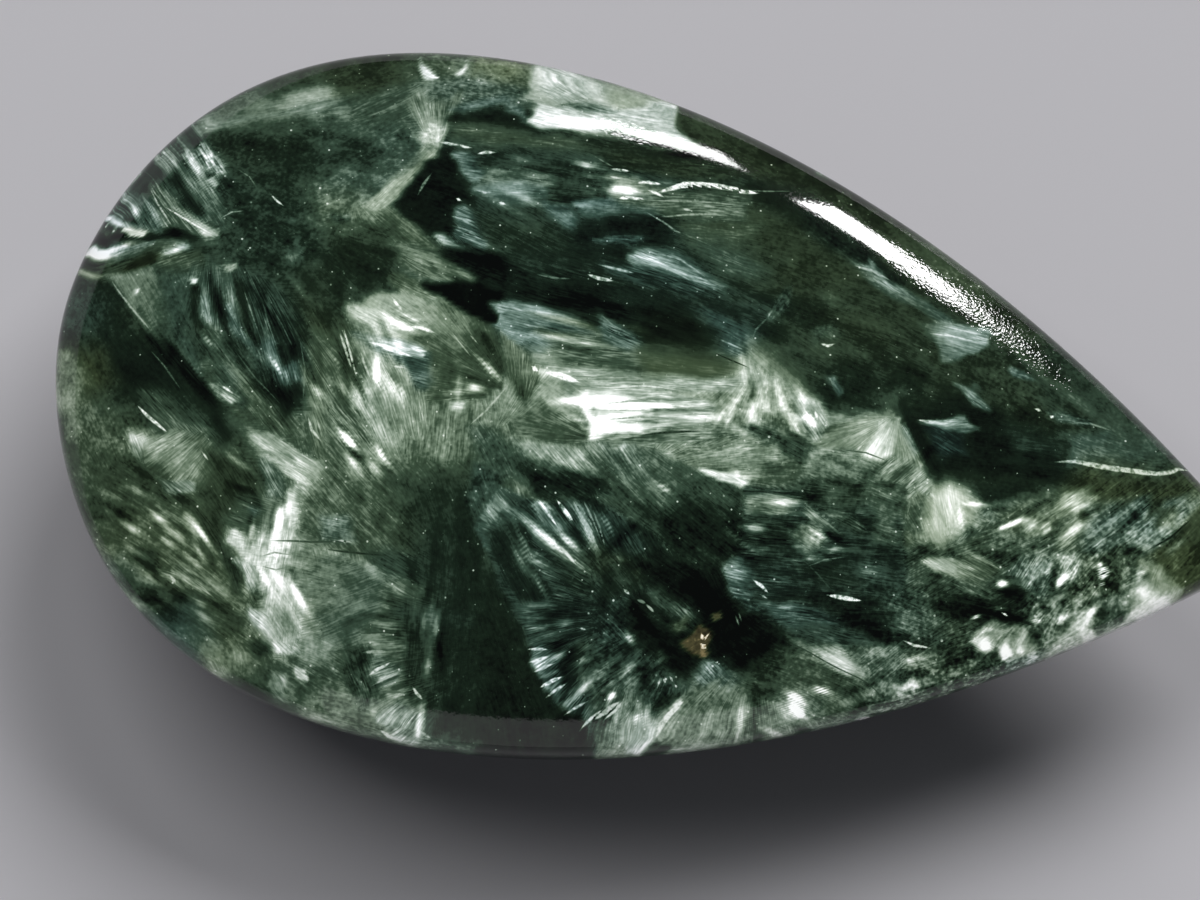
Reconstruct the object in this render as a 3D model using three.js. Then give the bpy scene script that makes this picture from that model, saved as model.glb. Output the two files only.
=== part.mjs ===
// A polished pear-shaped seraphinite cabochon, lying on its flat back.
// Millimetres, +Z up. The origin is the middle of the flat back's rectangle, the long axis
// is X and the pointed end is at +X.
import * as THREE from 'three';

// Driving dimensions of the cut stone
const LENGTH = 48; // blunt end to tip
const WIDTH = 28; // across the widest place
const THICKNESS = 6.2; // flat back to the crest of the dome
const WIDEST_PLACE = 7.6; // how far the widest place lies from mid-length, towards the blunt end
const BACK_BEVEL = 0.42; // width and height of the small bevel round the flat back
const GIRDLE_TOP = 1; // where the upright girdle ends and the rounded edge begins
const EDGE_HEIGHT = 0.87; // height of the rounded edge between girdle and dome
const DOME_FLATNESS = 1.5; // 0 is half an ellipse, more is a flatter cap of one

// How the flanks draw in from the widest place: the squared taper's share of the second,
// third and fourth power of the way along. What is left of 1 is the small round at the tip.
const FLANK_TAPER = [0.47, 0.21, 0.26];

// How finely the faceted solid is divided
const SPOKES = 112;
const DOME_RINGS = 13;
const EDGE_RINGS = 4;

const HALF_LENGTH = LENGTH / 2;
const HALF_WIDTH = WIDTH / 2;
const SHOULDER = GIRDLE_TOP + EDGE_HEIGHT;
const CAP_DEPTH = Math.sqrt(1 + DOME_FLATNESS) - Math.sqrt(DOME_FLATNESS);

// The stone's plan is a unit disc drawn out into a pear: along runs from -1 at the blunt end
// to 1 at the tip, and across is the disc's other coordinate.
function pearPoint(along, across) {
  const [second, third, fourth] = FLANK_TAPER;
  const taper = 1 - along ** 2 * (second + third * along + fourth * along ** 2);
  return new THREE.Vector2(
    HALF_LENGTH * along - WIDEST_PLACE * (1 - along * along),
    HALF_WIDTH * across * Math.sqrt(taper),
  );
}

// The dome is a cap of an ellipse over each line from the disc's middle to its rim.
function domeHeight(reach) {
  const lift = Math.sqrt(1 + DOME_FLATNESS - reach * reach) - Math.sqrt(DOME_FLATNESS);
  return SHOULDER + (THICKNESS - SHOULDER) * (lift / CAP_DEPTH);
}

// The outline at a turn about the disc: its outward direction, how steeply the dome reaches
// it, and the radius that rounds that slope off to the upright girdle.
function rimAt(turn) {
  const step = 0.001;
  const cos = Math.cos(turn);
  const sin = Math.sin(turn);
  const before = pearPoint(Math.cos(turn - step), Math.sin(turn - step));
  const tangent = pearPoint(Math.cos(turn + step), Math.sin(turn + step)).sub(before).normalize();
  const outward = new THREE.Vector2(tangent.y, -tangent.x);
  const spread = pearPoint(cos, sin).sub(pearPoint(cos * (1 - step), sin * (1 - step)));
  const widening = spread.dot(outward) / step;
  const fall = (THICKNESS - SHOULDER) / (CAP_DEPTH * Math.sqrt(DOME_FLATNESS));
  let lean = 0;
  let radius = EDGE_HEIGHT;
  for (let pass = 0; pass < 5; pass += 1) {
    lean = Math.atan(fall / (widening - 2 * radius * (1 - Math.sin(lean))));
    radius = EDGE_HEIGHT / Math.cos(lean);
  }
  return { outward, lean, radius };
}

// The section from the flat back's middle, out over the bevel and the girdle, and up the
// rounded edge and the dome to its crest, for a disc of radius 1.
function section() {
  const points = [
    new THREE.Vector2(0, 0),
    new THREE.Vector2(1, 0),
    new THREE.Vector2(1, BACK_BEVEL),
    new THREE.Vector2(1, GIRDLE_TOP),
  ];
  for (let ring = 1; ring < EDGE_RINGS; ring += 1) {
    points.push(new THREE.Vector2(1, GIRDLE_TOP + (EDGE_HEIGHT * ring) / EDGE_RINGS));
  }
  for (let ring = DOME_RINGS; ring > 0; ring -= 1) {
    points.push(new THREE.Vector2(ring / DOME_RINGS, domeHeight(ring / DOME_RINGS)));
  }
  points.push(new THREE.Vector2(0, THICKNESS));
  return points;
}

// Where a point of the round section goes on the pear. Insets are square to the outline, so
// the bevel keeps an even width and the rounded edge meets the dome without a crease.
function onStone(disc, height) {
  const reach = disc.length();
  const rim = rimAt(Math.atan2(disc.y, disc.x));
  const point = pearPoint(THREE.MathUtils.clamp(disc.x, -1, 1), disc.y);
  let inset = 0;
  let level = height;
  if (height >= SHOULDER) {
    inset = rim.radius * (1 - Math.sin(rim.lean)) * reach ** 2;
  } else if (height > GIRDLE_TOP) {
    const share = (height - GIRDLE_TOP) / EDGE_HEIGHT;
    const lean = THREE.MathUtils.lerp(Math.PI / 2, rim.lean, share);
    inset = rim.radius * (1 - Math.sin(lean));
    level = GIRDLE_TOP + rim.radius * Math.cos(lean);
  } else if (height < BACK_BEVEL && reach > 0.5) {
    inset = BACK_BEVEL - height;
  }
  point.addScaledVector(rim.outward, -inset);
  return new THREE.Vector3(point.x, point.y, level);
}

function cabochonGeometry() {
  const geometry = new THREE.LatheGeometry(section(), SPOKES);
  geometry.rotateX(Math.PI / 2);
  const position = geometry.getAttribute('position');
  for (let i = 0; i < position.count; i += 1) {
    const disc = new THREE.Vector2(position.getX(i), position.getY(i));
    const placed = onStone(disc, position.getZ(i));
    position.setXYZ(i, placed.x, placed.y, placed.z);
  }
  geometry.deleteAttribute('uv');
  geometry.computeVertexNormals();
  return geometry;
}

const polishedStone = new THREE.MeshStandardMaterial({
  color: 0x33473a,
  roughness: 0.16,
  metalness: 0,
});

const cabochon = new THREE.Mesh(cabochonGeometry(), polishedStone);
cabochon.name = 'cabochon';

const group = new THREE.Group();
group.add(cabochon);

export default group;
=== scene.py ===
import math

import bpy
import numpy as np
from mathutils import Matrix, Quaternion, Vector


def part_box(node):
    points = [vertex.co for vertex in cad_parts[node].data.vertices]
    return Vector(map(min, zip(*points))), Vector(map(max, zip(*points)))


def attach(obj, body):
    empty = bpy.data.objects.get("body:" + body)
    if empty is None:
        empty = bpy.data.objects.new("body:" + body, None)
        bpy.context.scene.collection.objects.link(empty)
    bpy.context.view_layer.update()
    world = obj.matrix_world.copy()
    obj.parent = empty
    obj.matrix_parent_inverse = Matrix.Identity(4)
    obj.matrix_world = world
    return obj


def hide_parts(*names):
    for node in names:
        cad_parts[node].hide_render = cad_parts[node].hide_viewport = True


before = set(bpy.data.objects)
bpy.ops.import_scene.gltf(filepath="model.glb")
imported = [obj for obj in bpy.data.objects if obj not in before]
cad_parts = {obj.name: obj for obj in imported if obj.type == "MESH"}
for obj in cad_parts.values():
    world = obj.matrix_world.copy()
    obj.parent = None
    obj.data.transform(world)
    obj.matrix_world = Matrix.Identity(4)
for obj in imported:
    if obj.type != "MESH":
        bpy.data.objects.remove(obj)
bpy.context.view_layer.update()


# The view. The stone is looked down on from nearly overhead, turned so that its tip points to
# the right and a little towards the viewer. A long lens keeps the plan almost undistorted.
MM = 0.001
VIEW_AZIMUTH = math.radians(11.36)
VIEW_ELEVATION = math.radians(77)
PHOTO_WIDTH = 1200
PHOTO_HEIGHT = 900
PHOTO_PIXELS_PER_MM = 25.32
STONE_MIDDLE_IN_PHOTO = (656.2, 438.4)
STONE_MIDDLE_HEIGHT = 0.9
LENS = 300
SENSOR = 36

view_right = np.array([math.cos(VIEW_AZIMUTH), math.sin(VIEW_AZIMUTH), 0])
view_back = np.array([
    math.sin(VIEW_AZIMUTH) * math.cos(VIEW_ELEVATION),
    -math.cos(VIEW_AZIMUTH) * math.cos(VIEW_ELEVATION),
    math.sin(VIEW_ELEVATION),
])
view_up = np.cross(view_back, view_right)
view_distance = LENS / SENSOR * PHOTO_WIDTH / PHOTO_PIXELS_PER_MM
view_aim = (
    np.array([0, 0, STONE_MIDDLE_HEIGHT])
    - view_right * (STONE_MIDDLE_IN_PHOTO[0] - PHOTO_WIDTH / 2) / PHOTO_PIXELS_PER_MM
    + view_up * (STONE_MIDDLE_IN_PHOTO[1] - PHOTO_HEIGHT / 2) / PHOTO_PIXELS_PER_MM
)


def photo_place(points):
    """The photograph's pixel for each point of the stone, given in millimetres."""
    from_aim = points - view_aim
    nearness = view_distance / (view_distance - from_aim @ view_back)
    column = PHOTO_WIDTH / 2 + PHOTO_PIXELS_PER_MM * nearness * (from_aim @ view_right)
    row = PHOTO_HEIGHT / 2 - PHOTO_PIXELS_PER_MM * nearness * (from_aim @ view_up)
    return np.stack([column, row], axis=-1)


bpy.ops.object.camera_add(location=Vector(view_aim + view_back * view_distance) * MM)
camera = bpy.context.object
camera.name = "camera"
camera.rotation_mode = "QUATERNION"
camera.rotation_quaternion = (-Vector(view_back)).to_track_quat("-Z", "Y")
camera.data.lens = LENS
camera.data.sensor_width = SENSOR
camera.data.clip_start = 0.01
camera.data.clip_end = 20
bpy.context.scene.camera = camera


# The cut stone. One slab of seraphinite, ground flat behind, domed in front and polished, with
# a narrow upright girdle, a rounded edge above it and a small bevel round the back. Its plan is
# a disc drawn out into a pear.
stone_low, stone_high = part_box("cabochon")
HALF_LENGTH = (stone_high.x - stone_low.x) / 2 / MM
HALF_WIDTH = (stone_high.y - stone_low.y) / 2 / MM
THICKNESS = (stone_high.z - stone_low.z) / MM
WIDEST_PLACE = 7.6
BACK_BEVEL = 0.42
BEVEL_ROUND = 0.05
GIRDLE_TOP = 1.0
EDGE_HEIGHT = 0.87
DOME_FLATNESS = 1.5
FLANK_TAPER = (0.47, 0.21, 0.26)
CELLS_ALONG = 400
CELLS_ACROSS = 206
EDGE_RINGS = 6
BEVEL_RINGS = 4
BACK_CELLS_ALONG = 80
BACK_CELLS_ACROSS = 42
BACK_MARGIN = 0.35
CREASE_ANGLE = math.radians(28)
SHOULDER = GIRDLE_TOP + EDGE_HEIGHT
CAP_DEPTH = math.sqrt(1 + DOME_FLATNESS) - math.sqrt(DOME_FLATNESS)


def lengthwise(along):
    return HALF_LENGTH * along - WIDEST_PLACE * (1 - along ** 2)


def along_at(length):
    """The disc's coordinate whose place on the stone's axis is that length."""
    root = np.sqrt(HALF_LENGTH ** 2 + 4 * WIDEST_PLACE * (WIDEST_PLACE + length))
    return (root - HALF_LENGTH) / (2 * WIDEST_PLACE)


def pear_plan(along, across):
    second, third, fourth = FLANK_TAPER
    taper = 1 - along ** 2 * (second + third * along + fourth * along ** 2)
    return np.stack([lengthwise(along), HALF_WIDTH * across * np.sqrt(taper)], axis=-1)


def dome_height(reach):
    lift = np.sqrt(1 + DOME_FLATNESS - reach ** 2) - math.sqrt(DOME_FLATNESS)
    return SHOULDER + (THICKNESS - SHOULDER) * lift / CAP_DEPTH


def rim_at(turn):
    """The outline's outward direction, the dome's slope there and the edge's radius."""
    step = 0.001
    cos = np.cos(turn)
    sin = np.sin(turn)
    before = pear_plan(np.cos(turn - step), np.sin(turn - step))
    after = pear_plan(np.cos(turn + step), np.sin(turn + step))
    tangent = (after - before) / np.linalg.norm(after - before, axis=1)[:, None]
    outward = np.stack([tangent[:, 1], -tangent[:, 0]], axis=1)
    spread = pear_plan(cos, sin) - pear_plan(cos * (1 - step), sin * (1 - step))
    widening = (spread * outward).sum(axis=1) / step
    fall = (THICKNESS - SHOULDER) / (CAP_DEPTH * math.sqrt(DOME_FLATNESS))
    lean = np.zeros(len(turn))
    radius = np.full(len(turn), EDGE_HEIGHT)
    for _ in range(5):
        lean = np.arctan(fall / (widening - 2 * radius * (1 - np.sin(lean))))
        radius = EDGE_HEIGHT / np.cos(lean)
    return outward, lean, radius


def disc_from_square(square):
    """A square sheet drawn into a disc, with its columns evenly spaced down the stone."""
    along = along_at(square[:, 0] * HALF_LENGTH)
    across = square[:, 1]
    return np.stack([
        along * np.sqrt(1 - across ** 2 / 2),
        across * np.sqrt(1 - along ** 2 / 2),
    ], axis=1)


def read_places(mesh):
    places = np.empty(len(mesh.vertices) * 3)
    mesh.vertices.foreach_get("co", places)
    return places.reshape(-1, 3)


def write_places(mesh, places):
    mesh.vertices.foreach_set("co", places.ravel())
    mesh.update()


def store(mesh, name, kind, domain, values):
    mesh.attributes.new(name, kind, domain)
    field = "value" if kind == "FLOAT" else "vector"
    mesh.attributes[name].data.foreach_set(field, np.asarray(values, np.float32).ravel())


def add_sheet(name, cells_along, cells_across):
    """A flat sheet of square cells, and the disc place and turn of each of its points."""
    bpy.ops.object.select_all(action="DESELECT")
    bpy.ops.mesh.primitive_grid_add(
        x_subdivisions=cells_along, y_subdivisions=cells_across, size=2
    )
    sheet = bpy.context.object
    sheet.name = name
    disc = disc_from_square(read_places(sheet.data)[:, :2])
    turn = np.arctan2(disc[:, 1], disc[:, 0])
    store(sheet.data, "turn", "FLOAT", "POINT", turn)
    store(sheet.data, "unrolled", "FLOAT", "POINT", np.zeros(len(turn)))
    return sheet, disc, turn


def read_numbers(mesh, name):
    numbers = np.empty(len(mesh.vertices))
    mesh.attributes[name].data.foreach_get("value", numbers)
    return numbers


def extrude_rim(stone, ring_place):
    """One more ring of faces round the sheet's open edge, where ring_place puts each point."""
    bpy.ops.object.mode_set(mode="EDIT")
    bpy.ops.mesh.select_mode(type="EDGE")
    bpy.ops.mesh.select_all(action="DESELECT")
    bpy.ops.mesh.select_non_manifold()
    bpy.ops.mesh.extrude_edges_move()
    bpy.ops.object.mode_set(mode="OBJECT")
    fresh = np.empty(len(stone.data.vertices), bool)
    stone.data.vertices.foreach_get("select", fresh)
    turn = read_numbers(stone.data, "turn")
    unrolled = read_numbers(stone.data, "unrolled")
    inset, height = ring_place(turn[fresh])
    outward = rim_at(turn[fresh])[0]
    plan = pear_plan(np.cos(turn[fresh]), np.sin(turn[fresh])) - outward * inset[:, None]
    places = read_places(stone.data)
    moved = np.column_stack([plan, height])
    unrolled[fresh] += np.linalg.norm(moved - places[fresh], axis=1)
    places[fresh] = moved
    write_places(stone.data, places)
    stone.data.attributes["unrolled"].data.foreach_set("value", unrolled)


def edge_ring(share):
    """A ring of the rounded edge: 1 where it meets the dome, 0 where it meets the girdle."""
    def ring_place(turn):
        outward, lean, radius = rim_at(turn)
        ring_lean = math.pi / 2 + (lean - math.pi / 2) * share
        return radius * (1 - np.sin(ring_lean)), GIRDLE_TOP + radius * np.cos(ring_lean)
    return ring_place


def level_ring(inset, height):
    return lambda turn: (np.full(len(turn), inset), np.full(len(turn), height))


# the domed face, down to where its edge is rounded off
stone, disc, turn = add_sheet("polished_stone", CELLS_ALONG, CELLS_ACROSS)
reach = np.hypot(disc[:, 0], disc[:, 1])
outward, lean, radius = rim_at(turn)
draw_in = radius * (1 - np.sin(lean)) * reach ** 2
face_plan = pear_plan(disc[:, 0], disc[:, 1]) - outward * draw_in[:, None]
write_places(stone.data, np.column_stack([face_plan, dome_height(reach)]))

# the rounded edge, the girdle and the bevel with its two softened edges, ring by ring
for ring in range(EDGE_RINGS - 1, -1, -1):
    extrude_rim(stone, edge_ring(ring / EDGE_RINGS))
extrude_rim(stone, level_ring(0, BACK_BEVEL + BEVEL_ROUND))
extrude_rim(stone, level_ring(BEVEL_ROUND, BACK_BEVEL - BEVEL_ROUND))
extrude_rim(stone, level_ring(BACK_BEVEL - BEVEL_ROUND, BEVEL_ROUND))
extrude_rim(stone, level_ring(BACK_BEVEL + BEVEL_ROUND, 0))

# the flat back, a coarser sheet bridged to the bevel's lower edge
back, disc, turn = add_sheet("flat_back", BACK_CELLS_ALONG, BACK_CELLS_ACROSS)
draw_in = (BACK_BEVEL + BEVEL_ROUND + BACK_MARGIN) * (disc ** 2).sum(axis=1)
back_plan = pear_plan(disc[:, 0], disc[:, 1]) - rim_at(turn)[0] * draw_in[:, None]
write_places(back.data, np.column_stack([back_plan, np.zeros(len(back_plan))]))
stone.select_set(True)
bpy.context.view_layer.objects.active = stone
bpy.ops.object.join()
bpy.ops.object.mode_set(mode="EDIT")
bpy.ops.mesh.select_all(action="DESELECT")
bpy.ops.mesh.select_non_manifold()
bpy.ops.mesh.bridge_edge_loops()
bpy.ops.mesh.select_all(action="SELECT")
bpy.ops.mesh.normals_make_consistent(inside=False)
bpy.ops.object.mode_set(mode="OBJECT")
bpy.ops.object.shade_smooth_by_angle(angle=CREASE_ANGLE)

mesh = stone.data
places = read_places(mesh)
turn = read_numbers(mesh, "turn")
unrolled = read_numbers(mesh, "unrolled")
corner_count = len(mesh.loops)
corner_point = np.empty(corner_count, np.int32)
mesh.loops.foreach_get("vertex_index", corner_point)
face_start = np.empty(len(mesh.polygons), np.int32)
face_size = np.empty(len(mesh.polygons), np.int32)
mesh.polygons.foreach_get("loop_start", face_start)
mesh.polygons.foreach_get("loop_total", face_size)
corner_face = np.repeat(np.arange(len(face_start)), face_size)
face_facing = np.empty(len(face_start) * 3)
mesh.polygons.foreach_get("normal", face_facing)
face_is_back = face_facing.reshape(-1, 3)[:, 2] < -0.99

# A flat map of the skin: the dome with the edge and girdle folded out round it, and the back
# beside it.
MAP_WIDTH = 53.5
FRONT_ON_MAP = (0.5, 0.32)
BACK_ON_MAP = (0.3, 0.815)
BACK_SHRINK = 0.62
outward, lean, radius = rim_at(turn)
folded = places[:, :2].copy()
on_edge = unrolled > 0
shoulder_inset = radius * (1 - np.sin(lean))
folded[on_edge] = (
    pear_plan(np.cos(turn), np.sin(turn)) + outward * (unrolled - shoulder_inset)[:, None]
)[on_edge]
map_place = folded[corner_point] / MAP_WIDTH + FRONT_ON_MAP
back_place = places[corner_point, :2] * (-1, 1) / MAP_WIDTH * BACK_SHRINK + BACK_ON_MAP
corner_is_back = face_is_back[corner_face]
map_place[corner_is_back] = back_place[corner_is_back]
while mesh.uv_layers:
    mesh.uv_layers.remove(mesh.uv_layers[0])
skin_map = mesh.uv_layers.new(name="OFBake")
skin_map.data.foreach_set("uv", map_place.astype(np.float32).ravel())
mesh.attributes.remove(mesh.attributes["turn"])
mesh.attributes.remove(mesh.attributes["unrolled"])


# The pattern in the stone. Plumes of silvery fibres lie over one another in dark green, laid
# in the order in which they cover each other, with every place given in the photo's pixels.
# The fibres' paleness is partly their own colour and partly their silvery sheen, painted in.
def eased(share):
    """A share kept between 0 and 1, with a soft start and end."""
    share = np.clip(share, 0, 1)
    return share * share * (3 - 2 * share)


def boxed(spots, outline, margin):
    """Which spots lie in the upright box round an outline, or within a margin of it."""
    past_low = spots > outline.min(axis=0) - margin
    short_of_high = spots < outline.max(axis=0) + margin
    return (past_low & short_of_high).all(axis=1)


class Plumes:
    """What the plumes laid so far give each point and face of the stone."""

    def __init__(self, spots, corner_point, face_start, face_size):
        self.corner_point = corner_point
        self.face_start = face_start
        self.face_size = face_size
        # Blender adds the faces of the rings round the rim in an order of its own at each run, so
        # they are put in the order of their points before any face is picked at random
        rim = np.arange((EDGE_RINGS + BEVEL_RINGS) * 2 * (CELLS_ALONG + CELLS_ACROSS))
        rim += CELLS_ALONG * CELLS_ACROSS
        last_point = np.maximum.reduceat(corner_point, face_start)[rim]
        point_sum = np.add.reduceat(corner_point, face_start)[rim]
        self.face_order = np.arange(len(face_start))
        self.face_order[rim] = rim[np.lexsort((point_sum, last_point))]
        self.chance = np.random.default_rng(11)
        self.lattice = self.chance.uniform(-1, 1, (97, 89))

        def drift(reach, size, shift_x=0, shift_y=0):
            return reach * self.ripple(spots[:, 0] / size + shift_x, spots[:, 1] / size + shift_y)

        # outlines wander more than the fibres inside them do
        self.spots = spots + np.stack([
            drift(5, 45) + drift(2.5, 15, 30),
            drift(5, 45, 50, 20) + drift(2.5, 15, 60, 40),
        ], axis=1)
        self.true_spots = spots + np.stack([drift(1.6, 50), drift(1.6, 50, 50, 20)], axis=1)
        self.tone = np.full(len(spots), 0.33)
        self.tint = np.zeros(len(spots))
        self.silk = np.full(len(spots), 0.2)
        self.grain = np.full(len(spots), 0.12)
        self.worn = np.full(len(spots), 0.06)
        self.flows = [0]
        self.top = np.zeros(len(face_start), int)
        self.under = np.zeros(len(face_start), int)
        self.over = np.ones(len(corner_point))
        # each corner's distance from its thread, with the thread's half width and tone, and how
        # near in pixels the next thread has to pass to take the face over
        self.vein = np.tile([99.0, 0.0, 0.0], (len(corner_point), 1))
        self.vein_claim = np.full(len(face_start), 12.0)

    def ripple(self, first, second):
        """Smooth seeded unevenness between -1 and 1."""
        column = np.floor(first).astype(int)
        row = np.floor(second).astype(int)
        ease_x = eased(first - column)
        ease_y = eased(second - row)
        columns, rows = self.lattice.shape

        def knot(shift_x, shift_y):
            return self.lattice[(column + shift_x) % columns, (row + shift_y) % rows]

        low = knot(0, 0) * (1 - ease_x) + knot(1, 0) * ease_x
        high = knot(0, 1) * (1 - ease_x) + knot(1, 1) * ease_x
        return low * (1 - ease_y) + high * ease_y

    def inside_by(self, spots, outline):
        """How far spots lie inside an outline, in pixels, and negative outside it."""
        nearest = np.full(len(spots), 1e9)
        crossings = np.zeros(len(spots), int)
        for start, end in zip(outline, np.roll(outline, -1, axis=0)):
            span = end - start
            share = np.clip((spots - start) @ span / (span @ span), 0, 1)
            gap = spots - start - share[:, None] * span
            nearest = np.minimum(nearest, np.hypot(gap[:, 0], gap[:, 1]))
            straddles = (start[1] > spots[:, 1]) != (end[1] > spots[:, 1])
            rise = span[1] if span[1] else 1e-9
            crossing = start[0] + (spots[:, 1] - start[1]) * span[0] / rise
            crossings += straddles & (spots[:, 0] < crossing)
        return np.where(crossings % 2 == 1, nearest, -nearest)

    def along_flow(self, spots, flow):
        """Pixels along and across the fibres, which lie one way or spread from a root."""
        if isinstance(flow, tuple):
            root_x, root_y, heading, usual_distance = flow
            offset = spots - (root_x, root_y)
            distance = np.hypot(offset[:, 0], offset[:, 1])
            swing = np.arctan2(offset[:, 1], offset[:, 0]) - math.radians(heading)
            swing = (swing + math.pi) % (2 * math.pi) - math.pi
            return distance, swing * usual_distance
        way = math.radians(flow)
        along = spots @ (math.cos(way), math.sin(way))
        across = spots @ (-math.sin(way), math.cos(way))
        return along, across

    def patch(self, outline, flow, tone, tint=0, silk=0.25, grain=0.12, soft=8, ragged=8,
              cover=1):
        """A patch of fibres, whose tone runs from its root end to its far end."""
        outline = np.array(outline, float)
        soft = soft * soft / 5  # edges under 5 pixels get crisper and wider ones softer
        if isinstance(flow, tuple):
            to_middle = outline.mean(axis=0) - flow
            heading = math.degrees(math.atan2(to_middle[1], to_middle[0]))
            flow = (*flow, heading, np.linalg.norm(outline - flow, axis=1).mean())
        reach = soft + ragged
        near = boxed(self.spots, outline, reach)
        if not near.any():
            return
        spots = self.spots[near]
        along, across = self.along_flow(self.true_spots[near], flow)
        number = len(self.flows)
        comb = 0.65 * self.ripple(across / 7 + 5 * number, along / 60 + 3 * number)
        comb += 0.35 * self.ripple(across / 17 + 9 * number, along / 90)
        amount = eased(0.5 + (self.inside_by(spots, outline) + ragged * comb) / soft)
        corner_along = self.along_flow(outline, flow)[0]
        first, last = tone if isinstance(tone, tuple) else (tone, tone)
        share = (along - corner_along.min()) / (np.ptp(corner_along) + 1)
        wanted = first + (last - first) * np.clip(share, 0, 1)
        blend = amount * cover
        self.tone[near] += (wanted - self.tone[near]) * blend
        self.tint[near] += (tint - self.tint[near]) * blend
        self.silk[near] += (silk - self.silk[near]) * blend
        self.grain[near] += (grain - self.grain[near]) * blend
        whole = np.zeros(len(self.spots))
        whole[near] = blend
        on_corner = whole[self.corner_point]
        taken = np.maximum.reduceat(on_corner, self.face_start) > 0.03
        held = np.add.reduceat(self.over, self.face_start) / self.face_size
        self.under[taken] = np.where(held > 0.5, self.top, self.under)[taken]
        self.top[taken] = number
        corner_taken = taken[corner_face]
        self.over[corner_taken] = on_corner[corner_taken]
        self.flows.append(flow)

    def wear(self, outline, amount, soft):
        """A place where the polish is pitted, which fades out at its edge."""
        inside = eased(0.5 + self.inside_by(self.spots, np.array(outline, float)) / soft)
        self.worn += (amount - self.worn) * inside

    def line(self, points, width, tone=1.0):
        """A thin line of light or dark fibre that tapers off at both ends."""
        points = np.array(points, float)
        steps = np.linalg.norm(np.diff(points, axis=0), axis=1)
        begun = np.concatenate([[0], np.cumsum(steps)])
        corner_spots = self.true_spots[self.corner_point]
        near_face = np.zeros(len(self.face_start), bool)
        near_face[corner_face[boxed(corner_spots, points, 14)]] = True
        faces = np.flatnonzero(near_face)
        middle = np.add.reduceat(corner_spots, self.face_start)[faces]
        middle = middle / self.face_size[faces][:, None]
        best = self.vein_claim[faces]
        chosen = np.full(len(faces), -1)
        for index, (start, end) in enumerate(zip(points[:-1], points[1:])):
            span = end - start
            share = np.clip((middle - start) @ span / (span @ span), 0, 1)
            gap = np.linalg.norm(middle - start - share[:, None] * span, axis=1)
            closer = gap < best
            best = np.where(closer, gap, best)
            chosen[closer] = index
        self.vein_claim[faces] = best
        piece_of_face = np.full(len(self.face_start), -1)
        piece_of_face[faces] = chosen
        piece = piece_of_face[corner_face]
        for index, (start, end) in enumerate(zip(points[:-1], points[1:])):
            mine = piece == index
            span = (end - start) / steps[index]
            offset = corner_spots[mine] - start
            along = (begun[index] + offset @ span) / begun[-1]
            taper = np.sqrt(np.clip(4 * along * (1 - along), 0, 1))
            self.vein[mine, 0] = offset @ (-span[1], span[0])
            self.vein[mine, 1] = width / 2 * taper
            self.vein[mine, 2] = tone

    def streak(self, count, length, width, strength, outline=None):
        """Streaks along the fibres: lighter and darker ones, or a few bright ones in an outline."""
        corner_spots = self.true_spots[self.corner_point]
        middles = np.add.reduceat(corner_spots, self.face_start) / self.face_size[:, None]
        among = self.face_order
        if outline is not None:
            among = among[self.inside_by(middles[among], np.array(outline, float)) > 0]
        for face in self.chance.choice(among, count):
            flow = self.flows[self.top[face]]
            centre = middles[face]
            if isinstance(flow, tuple):
                way = math.atan2(centre[1] - flow[1], centre[0] - flow[0])
            else:
                way = math.radians(flow)
            reach = length * self.chance.uniform(0.5, 1.5)
            half = width * self.chance.uniform(0.6, 1.4)
            lift = strength * self.chance.normal()
            near = np.flatnonzero(
                (np.abs(self.true_spots[:, 0] - centre[0]) < reach * 1.6)
                & (np.abs(self.true_spots[:, 1] - centre[1]) < reach * 1.6)
            )
            offset = self.true_spots[near] - centre
            along = offset @ (math.cos(way), math.sin(way)) / reach
            across = offset @ (-math.sin(way), math.cos(way)) / half
            amount = np.exp(-along ** 2 - across ** 2)
            if outline is None:
                self.tone[near] += lift * amount * (0.25 + 2 * self.silk[near])
            else:
                self.tone[near] += (lift * lift / strength - 0.85 * strength) * amount

    def lies(self, face_flow):
        """Each face corner's pixels along and across the fibres of its face."""
        lies = np.zeros((len(self.corner_point), 3))
        corner_spots = self.true_spots[self.corner_point]
        corner_flow = face_flow[corner_face]
        for number, flow in enumerate(self.flows):
            mine = corner_flow == number
            along, across = self.along_flow(corner_spots[mine], flow)
            lies[mine, 0] = along
            lies[mine, 1] = across
            lies[mine, 2] = number * 3.7
        return lies


# The photo's plumes are drawn out a little to the rim, so that they run on round its edge. The
# back, which the photo doesn't show, has them turned over, smaller and bent in slow waves.
RIM_ZONE = 0.7
RIM_DRAW = 0.4
BACK_SCALE = 0.8
BACK_MIDDLE = (600, 438)
BACK_SHIFT = -40
BACK_WAVES = ((30, 70), (26, 90))  # how far they sway and how long they are, in pixels
near_rim = np.clip(1 - (places[:, 2] - SHOULDER) / RIM_ZONE, 0, 1) ** 2
drawn_in = places.copy()
drawn_in[:, :2] -= outward * (RIM_DRAW * near_rim)[:, None]
spots = photo_place(drawn_in)
on_back = np.zeros(len(places), bool)
on_back[corner_point[corner_is_back]] = True
middle_x, middle_y = BACK_MIDDLE
(sway_x, sway_x_length), (sway_y, sway_y_length) = BACK_WAVES
back_x, back_y = spots[on_back].T
spots[on_back] = np.stack([
    middle_x + BACK_SHIFT + BACK_SCALE * (back_x - middle_x) + sway_x * np.sin(back_y / sway_x_length),
    middle_y - BACK_SCALE * (back_y - middle_y) + sway_y * np.sin(back_x / sway_y_length),
], axis=1)
plumes = Plumes(spots, corner_point, face_start, face_size)
patch = plumes.patch
line = plumes.line
wear = plumes.wear

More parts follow.
